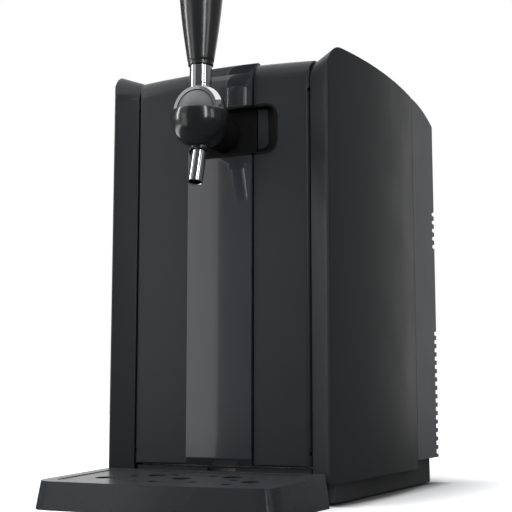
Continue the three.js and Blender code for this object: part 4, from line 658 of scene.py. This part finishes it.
# The pump is a steel motor can under a moulded head, with a barbed port for the hose.
pump_place = point(78, 165.8, 0)
motor = turned([[0, 232], [4, 232], [4.4, 233.2], [12.6, 233.2], [13.6, 233.8],
                [14, 234.8], [14, 279], [13.5, 279.6], [14, 280.2], [14, 284.2],
                [0, 284.2]], 64)
piece("air_pump_motor", moved(motor, pump_place), zinc, "machine", "air_pump", slot="steel")
head = brick(point(61, 148.8, 284), point(95, 182.8, 304))
piece("air_pump_head", eased(head, 2 * mm, segments=4), matt_abs, "machine",
      "air_pump", slot="matte_black")
port = turned([[0, 303.6], [3, 303.6], [3, 306], [2.5, 307], [2.95, 307.4], [2.5, 309],
               [2.95, 309.4], [2.2, 312], [0, 312]], 32)
piece("air_pump_port", moved(port, pump_place), matt_abs, "machine",
      "air_pump", slot="matte_black")
foot = stretch_of("air_pump", [(0, 153, 0), (0, 1, 0)], [(0, 0, 278.5), (0, 0, 1)])
piece("air_pump_foot", foot, zinc, "machine", "air_pump", slot="steel")

# Silicone tube is rubbery, with a faint bloom.
silicone = plastic("silicone_tube", ("#1a1a1a", "#202020"), 1 * mm, 0.01 * mm, (0.45, 0.6))
moulding("air_hose", silicone, "machine", "black_rubber", 0.3 * mm, kind="tube")


def prism(points, along):
    """A flat outline pushed out along a vector."""
    shape = bmesh.new()
    bmesh.ops.contextual_create(shape, geom=[shape.verts.new(place) for place in points])
    pushed = bmesh.ops.extrude_face_region(shape, geom=shape.faces[:],
                                           use_keep_orig=True)["geom"]
    ends = [part for part in pushed if isinstance(part, bmesh.types.BMVert)]
    bmesh.ops.translate(shape, vec=along, verts=ends)
    bmesh.ops.recalc_face_normals(shape, faces=shape.faces)
    return shape


# The socket is a moulded shell with a thin flange; its mouth has two corners cut off.
shell = combined(brick(point(51.5, 219, 47), point(81.5, 243, 69)),
                 brick(point(47.5, 241.3, 43), point(85.5, 243.5, 73)), "UNION")
way = [(55, 50.5), (78, 50.5), (78, 61.75), (72.25, 65.5), (60.75, 65.5), (55, 61.75)]
way_floor = 228.5
hollow = prism([point(x, way_floor, z) for x, z in way], Vector((0, 20 * mm, 0)))
shell = combined(shell, hollow, "DIFFERENCE")
piece("mains_inlet_shell", eased(shell, 0.5 * mm, 40), matt_abs, "machine",
      "mains_inlet", slot="matte_black")

# Nickel over brass is a warm, bright grey.
nickel = metal("nickel_plated_brass", ("#b9b5aa", "#c8c4b9"), (0.18, 0.28))
blade_half_width, blade_half_height = 1.2, 2.4
for number, (x, z) in enumerate(((60.75, 55.5), (66.5, 60.5), (72.25, 55.5)), 1):
    blade = brick(point(x - blade_half_width, 228.2, z - blade_half_height),
                  point(x + blade_half_width, 237.5, z + blade_half_height))
    piece(f"inlet_blade_{number}", eased(blade, 0.35 * mm), nickel, "machine",
          "mains_inlet", slot="steel")

# Hinges
# Each leaf swings on two concealed arms of pressed steel, screwed to the machine's frame. A
# pin at each arm's end turns in the leaf's shell, just behind the cover's front edge.

# Pressed steel is a dull grey, with a fine uneven grain under a thin oil film.
steel = metal("pressed_steel", ("#8d9093", "#9ea1a4"), (0.3, 0.45))
for side in ("left", "right"):
    for level in ("upper", "lower"):
        moulding(f"{side}_{level}_hinge_arm", steel, "machine", "steel", 0.3 * mm,
                 kind="pressing", pierced=True)

# Main door
# The wide leaf is a painted ABS shell with a white inner moulding snapped in behind. It has
# a clear-coated strip down its front, and a deep cup let into it, where the tap comes out.

moulding("main_door_shell", satin_abs, "main_door", "satin_grey", 0.4 * mm)


def at(x, depth, z):
    """A point across, behind and above the foot of the door's face, on its middle line."""
    door_face = -101 * mm
    return Vector((x * mm, depth * mm + door_face, z * mm))


def rounded(corners, steps=10):
    """A path through corners [a, b, radius]; a corner with a radius becomes an arc."""
    path = []
    for k, (a, b, radius) in enumerate(corners):
        here = Vector((a, b))
        if not radius:
            path.append(here)
            continue
        back = (Vector(corners[k - 1][:2]) - here).normalized()
        ahead = (Vector(corners[(k + 1) % len(corners)][:2]) - here).normalized()
        half = back.angle(ahead) / 2
        middle = here + (back + ahead).normalized() * (radius / sin(half))
        start = here + back * (radius / tan(half)) - middle
        sweep = start.angle_signed(here + ahead * (radius / tan(half)) - middle)
        path += [middle + Matrix.Rotation(-sweep * n / steps, 2) @ start
                 for n in range(steps + 1)]
    return path


# The strip is a shade lighter than the tap's black, under a clear coat. It rolls over the
# head of the door in one piece and is crowned from side to side.
strip_abs = plastic("clear_coated_abs", ("#2a2b2e", "#2d2e31"), 2 * mm, 0.001 * mm,
                    (0.08, 0.12), coat=1.0)
strip_half = 35.27
strip_front, strip_back = -2.3, 1
strip_foot, straight_top = 34.6, 400
head_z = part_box("front_strip")[1].z / mm - 5.8
strip_path = rounded([
    [strip_front, head_z + 2.3, 24.3], [26.65, head_z + 2.3, 0], [26.65, head_z - 1, 0],
    [strip_back, head_z - 1, 21], [strip_back, straight_top, 0], [strip_back, strip_foot, 0],
    [0, strip_foot, 0.2], [strip_front, 41.6, 3], [strip_front, straight_top, 0]], steps=20)
strip = prism([at(-strip_half, d, z) for d, z in strip_path],
              Vector((2 * strip_half * mm, 0, 0)))
lengths = [edge for edge in strip.edges
           if abs(edge.verts[0].co.x - edge.verts[1].co.x) > mm]
bmesh.ops.subdivide_edges(strip, edges=lengths, cuts=27)
crown_height, crown_half = 3.5, 96.2
for corner in strip.verts:
    crown = crown_height * mm * (1 - (corner.co.x / (crown_half * mm)) ** 2)
    share = (corner.co.z - straight_top * mm) / ((head_z - straight_top) * mm)
    corner.co.z += crown * max(0, share)
mouth_left, mouth_right, mouth_low, mouth_high = -34.85, 62.35, 335.65, 386.35
mouth_round = 12.35
mouth = rounded([[mouth_left, mouth_low, mouth_round], [mouth_right, mouth_low, mouth_round],
                 [mouth_right, mouth_high, mouth_round],
                 [mouth_left, mouth_high, mouth_round]], steps=16)
opening = prism([at(x, -8, z) for x, z in mouth], Vector((0, 20 * mm, 0)))
strip = combined(strip, opening, "DIFFERENCE")
seam_side = [(35.3, 10), (45, 10), (45, 27), (33.1, 27)]
relief = prism([at(x, d, straight_top) for x, d in seam_side], Vector((0, 0, 80 * mm)))
strip = combined(strip, relief, "DIFFERENCE")
piece("front_strip_trim", eased(strip, 0.5 * mm, 40, 3), strip_abs, "main_door",
      "front_strip", slot="gloss_black")
moulding("main_door_liner", white_hips, "main_door", "white_plastic", 0.8 * mm)

# The recess, the grip and the neck are black plastic with a finer texture. Their black is
# deepened below the plinth's as painted shade, for the shade that falls in the recess and scoop.
shadow_abs = plastic("shade_deepened_black_abs", ("#0a0a0b", "#0d0d0e"), 0.8 * mm, 0.02 * mm,
                     (0.6, 0.75), ior=1.33)
moulding("tap_recess_cup", shadow_abs, "main_door", "matte_black", 0.5 * mm)

# Side door
# The narrow leaf is made as the wide one is. A scooped grip is let into its edge beside the
# tap's cup, so that fingers can pull either leaf open.

moulding("side_door_shell", satin_abs, "side_door", "satin_grey", 0.4 * mm)
moulding("side_door_liner", white_hips, "side_door", "white_plastic", 0.8 * mm)
# The scoop's walls keep this deepened black as painted shade; only the pad on its floor has the
# leaf's colour.
moulding("grip_scoop", shadow_abs, "side_door", "matte_black", 0.5 * mm)

# A pad in the leaf's own colour lines the scoop's floor; its free corners are round.
pad_low, pad_high, pad_end = 343, 383.4, 48.6
seam_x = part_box("grip_scoop")[0].x / mm + 0.3
pad_edge = rounded([[seam_x, pad_low, 0], [pad_end, pad_low, 7],
                    [pad_end, pad_high, 5], [seam_x, pad_high, 0]])
pad = prism([at(x, 9, z) for x, z in pad_edge], Vector((0, 1.4 * mm, 0)))
piece("grip_scoop_pad", eased(pad, 0.4 * mm, 40, 3), satin_abs, "side_door",
      "grip_scoop", slot="satin_grey")

# Tap
# A black bowl holds a fixed grey core. A chrome hood turns between the two on a cross pin
# and carries the handle on a stud; the chrome spout leans forward out of the bowl.

pivot_z, pivot_depth = 372.5, -43
bowl_z, bowl_outside, bowl_inside = 365.1, 28.7, 26.7
hood_outside, hood_inside = 26.1, 23.2
core_outside = 22.2
pin_end = 25.8
spout_root, spout_lean = 339, radians(-15)

# Chrome over polished zinc mirrors the room almost without colour.
chrome = metal("chrome_plate", ("#dfe2e4", "#eceef0"), (0.03, 0.07), relief=0.0002 * mm)


def arc(radius, middle, start, end, steps):
    """Points [radius, height] on a circle about the axis; angles run from straight down."""
    angles = [radians(start + (end - start) * k / steps) for k in range(steps + 1)]
    return [[max(0, radius * sin(a)), middle - radius * cos(a)] for a in angles]


def rod(radius, low, high, steps=64):
    """A round rod on the vertical axis."""
    return turned([[0, low], [radius, low], [radius, high], [0, high]], steps)


def on_axis(shape):
    """Carries a shape to the tap's upright axis."""
    return moved(shape, at(0, pivot_depth, 0))


def ball(radius, middle_z):
    """A ball on the tap's upright axis."""
    return on_axis(turned(arc(radius, middle_z, 0, 180, 64), 128))


def crosswise(shape):
    """Lays a turned shape along the cross pin."""
    return moved(shape, at(0, pivot_depth, pivot_z), Matrix.Rotation(pi / 2, 4, "Y"))


def leaned(shape):
    """The spout leans about the point where it leaves the bowl."""
    bmesh.ops.translate(shape, vec=(0, 0, -spout_root * mm), verts=shape.verts)
    return moved(shape, at(0, pivot_depth, spout_root), Matrix.Rotation(spout_lean, 4, "X"))


# The bowl is polished more than the handle, so its highlights are sharp. Its thin lip
# stands level with the pin.
polished_abs = plastic("polished_black_abs", ("#131416", "#161719"), 2 * mm, 0.001 * mm,
                       (0.26, 0.32), coat=1.0, polish=0.12)
lip = [[27.75, 372.1], [27.45, pivot_z], [26.95, pivot_z], [26.65, 372.2]]
bowl = turned(arc(bowl_outside, bowl_z, 0, 103.5, 56) + lip
              + arc(bowl_inside, pivot_z, 89, 0, 40), 128)
bowl = combined(on_axis(bowl), leaned(rod(5.8, 333, 352)), "DIFFERENCE")
bowl = combined(bowl, leaned(rod(7.6, 325, 341)), "DIFFERENCE")
piece("tap_bowl_shell", bowl, polished_abs, "main_door", "tap_bowl", slot="gloss_black")

# The core is die-cast zinc under a silver-grey paint, which is even and half matt.
core_paint = plastic("silver_grey_paint", ("#58595b", "#5d5e60"), 0.8 * mm, 0.008 * mm,
                     (0.42, 0.5), ior=1.45)
core_foot = [[0, 346.9], [8.4, 347.9], [9.4, 348.5], [10, 349.4]]
core = on_axis(turned(core_foot + arc(core_outside, pivot_z, 27, 180, 56), 96))
core = combined(core, crosswise(rod(2.8, -40, 40, 32)), "DIFFERENCE")
piece("tap_core_cartridge", core, core_paint, "main_door", "tap_core", slot="aluminium")

# The hood is chromed zinc, cut off flat in front, with an ear on each side for the pin.
hood = ball(hood_outside, pivot_z)
upper = brick(at(-40, -54.5, 372.8), at(40, 30, 420))
ears = crosswise(rod(5.5, -40, 40, 48))
hood = combined(hood, combined(upper, ears, "UNION"), "INTERSECT")
hood = combined(hood, on_axis(rod(11, 390, 399, 96)), "UNION")
hood = combined(hood, on_axis(rod(6, 398, 430, 48)), "UNION")
hood = combined(hood, ball(hood_inside, pivot_z), "DIFFERENCE")
hood = combined(hood, crosswise(rod(2.65, -40, 40, 32)), "DIFFERENCE")
piece("lever_hood_casting", eased(hood, 0.25 * mm, 40, 2), chrome, "tap_lever",
      "lever_hood", slot="chrome")

pin = turned([[0, -pin_end], [2.1, -pin_end], [2.5, -25.4], [2.5, 25.4], [2.1, pin_end],
              [0, pin_end]], 32)
piece("lever_cross_pin", crosswise(pin), steel, "tap_lever", "lever_pin", slot="steel")

ferrule = turned([[6.3, 399.3], [10.1, 399.3], [10.6, 399.5], [10.8, 400], [10.8, 417.2],
                  [10.6, 417.8], [10.1, 418], [6.3, 418], [6.3, 399.3]], 96)
piece("lever_ferrule_ring", on_axis(ferrule), chrome, "tap_lever",
      "lever_ferrule", slot="chrome")

# The handle swells towards its domed cap and has a fine groove above the ferrule.
handle_low, handle_length, handle_steps = 418.3, 122.7, 48
foot_radius, spread, belly = 12.2, 11.8, 2.4
swell = [[foot_radius + spread * k / handle_steps + belly * sin(pi * k / handle_steps),
          handle_low + handle_length * k / handle_steps] for k in range(2, handle_steps)]
handle_foot = [[0, 430.3], [6.3, 430.3], [6.3, handle_low], [11.6, handle_low],
               [12.1, 418.5], [12.3, 419], [12.4, 421], [12.1, 421.3], [12.1, 422],
               [12.5, 422.3]]
handle = turned(handle_foot + swell + [[23.9, 540.5], [23.6, 541], [0, 541]], 128)
piece("tap_handle_grip", on_axis(handle), gloss_abs, "tap_lever",
      "tap_handle", slot="gloss_black")
cap_low, cap_height, cap_radius = 541.3, 12, 24
dome = [[cap_radius * cos(radians(a)), cap_low + cap_height * sin(radians(a))]
        for a in range(6, 90, 4)]
cap = turned([[0, cap_low], [23.5, cap_low], [23.85, 541.6]] + dome + [[0, 553.3]], 128)
piece("handle_cap_dome", on_axis(cap), gloss_abs, "tap_lever",
      "handle_cap", slot="gloss_black")

moulding("tap_neck", shadow_abs, "main_door", "gloss_black", 0.5 * mm)
moulding("shank_nut", brass, "main_door", "brass", 0.5 * mm)

# The boss and the spout are cut to the bowl's round, with a hair of room to it.
bowl_clear = 29.05
boss = turned([[7.7, 333.4], [8.1, 333], [9.4, 333], [10, 333.6], [10, 345], [5.8, 345],
               [5.8, 334.4], [7.7, 334.4], [7.7, 333.4]], 96)
boss = combined(leaned(boss), ball(bowl_clear, bowl_z), "DIFFERENCE")
piece("spout_boss_ring", boss, polished_abs, "main_door", "spout_boss", slot="gloss_black")
tube = turned([[5.8, 301.2], [6.2, 300.6], [6.7, 300.5], [7.1, 300.7], [7.3, 301.2],
               [7.3, 334.2], [5.8, 334.2], [5.8, 301.2]], 96)
tube = combined(leaned(tube), ball(bowl_clear, bowl_z), "DIFFERENCE")
piece("spout_tube", tube, chrome, "main_door", "spout", slot="chrome")

# Drip tray and grid
# The tray is a deep ABS pan that slides out from the foot of the machine to be emptied. The
# grid drops into its ledge and lifts off by its holes.

# The tray and the grid are moulded in the covers' colour and a little smoother. Their top faces
# are painted paler, as painted light from above.
washed_abs = plastic("washed_tray_abs", ("#232527", "#26282a"), 1.0 * mm, 0.004 * mm,
                     (0.24, 0.3), ior=1.38, painted_top_light="#36383a")
moulding("drip_tray", washed_abs, "tray", "satin_grey", 1.4 * mm, segments=4)

# The grid is a thin plate, which falls towards the front with the ledge that it lies on. It
# is pierced by round drain holes of two sizes.
grid_half, grid_back, grid_front, grid_bow = 103.6, -28.4, -120.6, -125.6
plate = rounded([[-grid_half, grid_back, 5], [-grid_half, grid_front, 5], [0, grid_bow, 400],
                 [grid_half, grid_front, 5], [grid_half, grid_back, 5]], 12)
ledge_z, ledge_start, ledge_fall, ledge_run = 26.9, 15, 5, 124
grid = prism([at(x, d, ledge_z + (d + ledge_start) * ledge_fall / ledge_run)
              for x, d in plate], Vector((0, 0, 2.5 * mm)))
large_holes = ((-0.34, 0.3), (0.02, 0.5), (0.4, 0.28), (0.72, 0.6), (-0.7, 0.62))
small_holes = ((-0.12, 0.78), (0.24, 0.74), (-0.5, 0.42), (0.6, 0.84), (-0.2, 0.2),
               (0.2, 0.24), (0.52, 0.5))
for places, radius in ((large_holes, 8.5), (small_holes, 4.5)):
    for across, down in places:
        drill = moved(rod(radius, 0, 60, 48), at(across * 103.65, -28.35 - down * 97.3, 0))
        grid = combined(grid, drill, "DIFFERENCE")
piece("drip_grid_plate", eased(grid, 0.35 * mm, 40, 2), washed_abs, "grid",
      "drip_grid", slot="satin_grey")
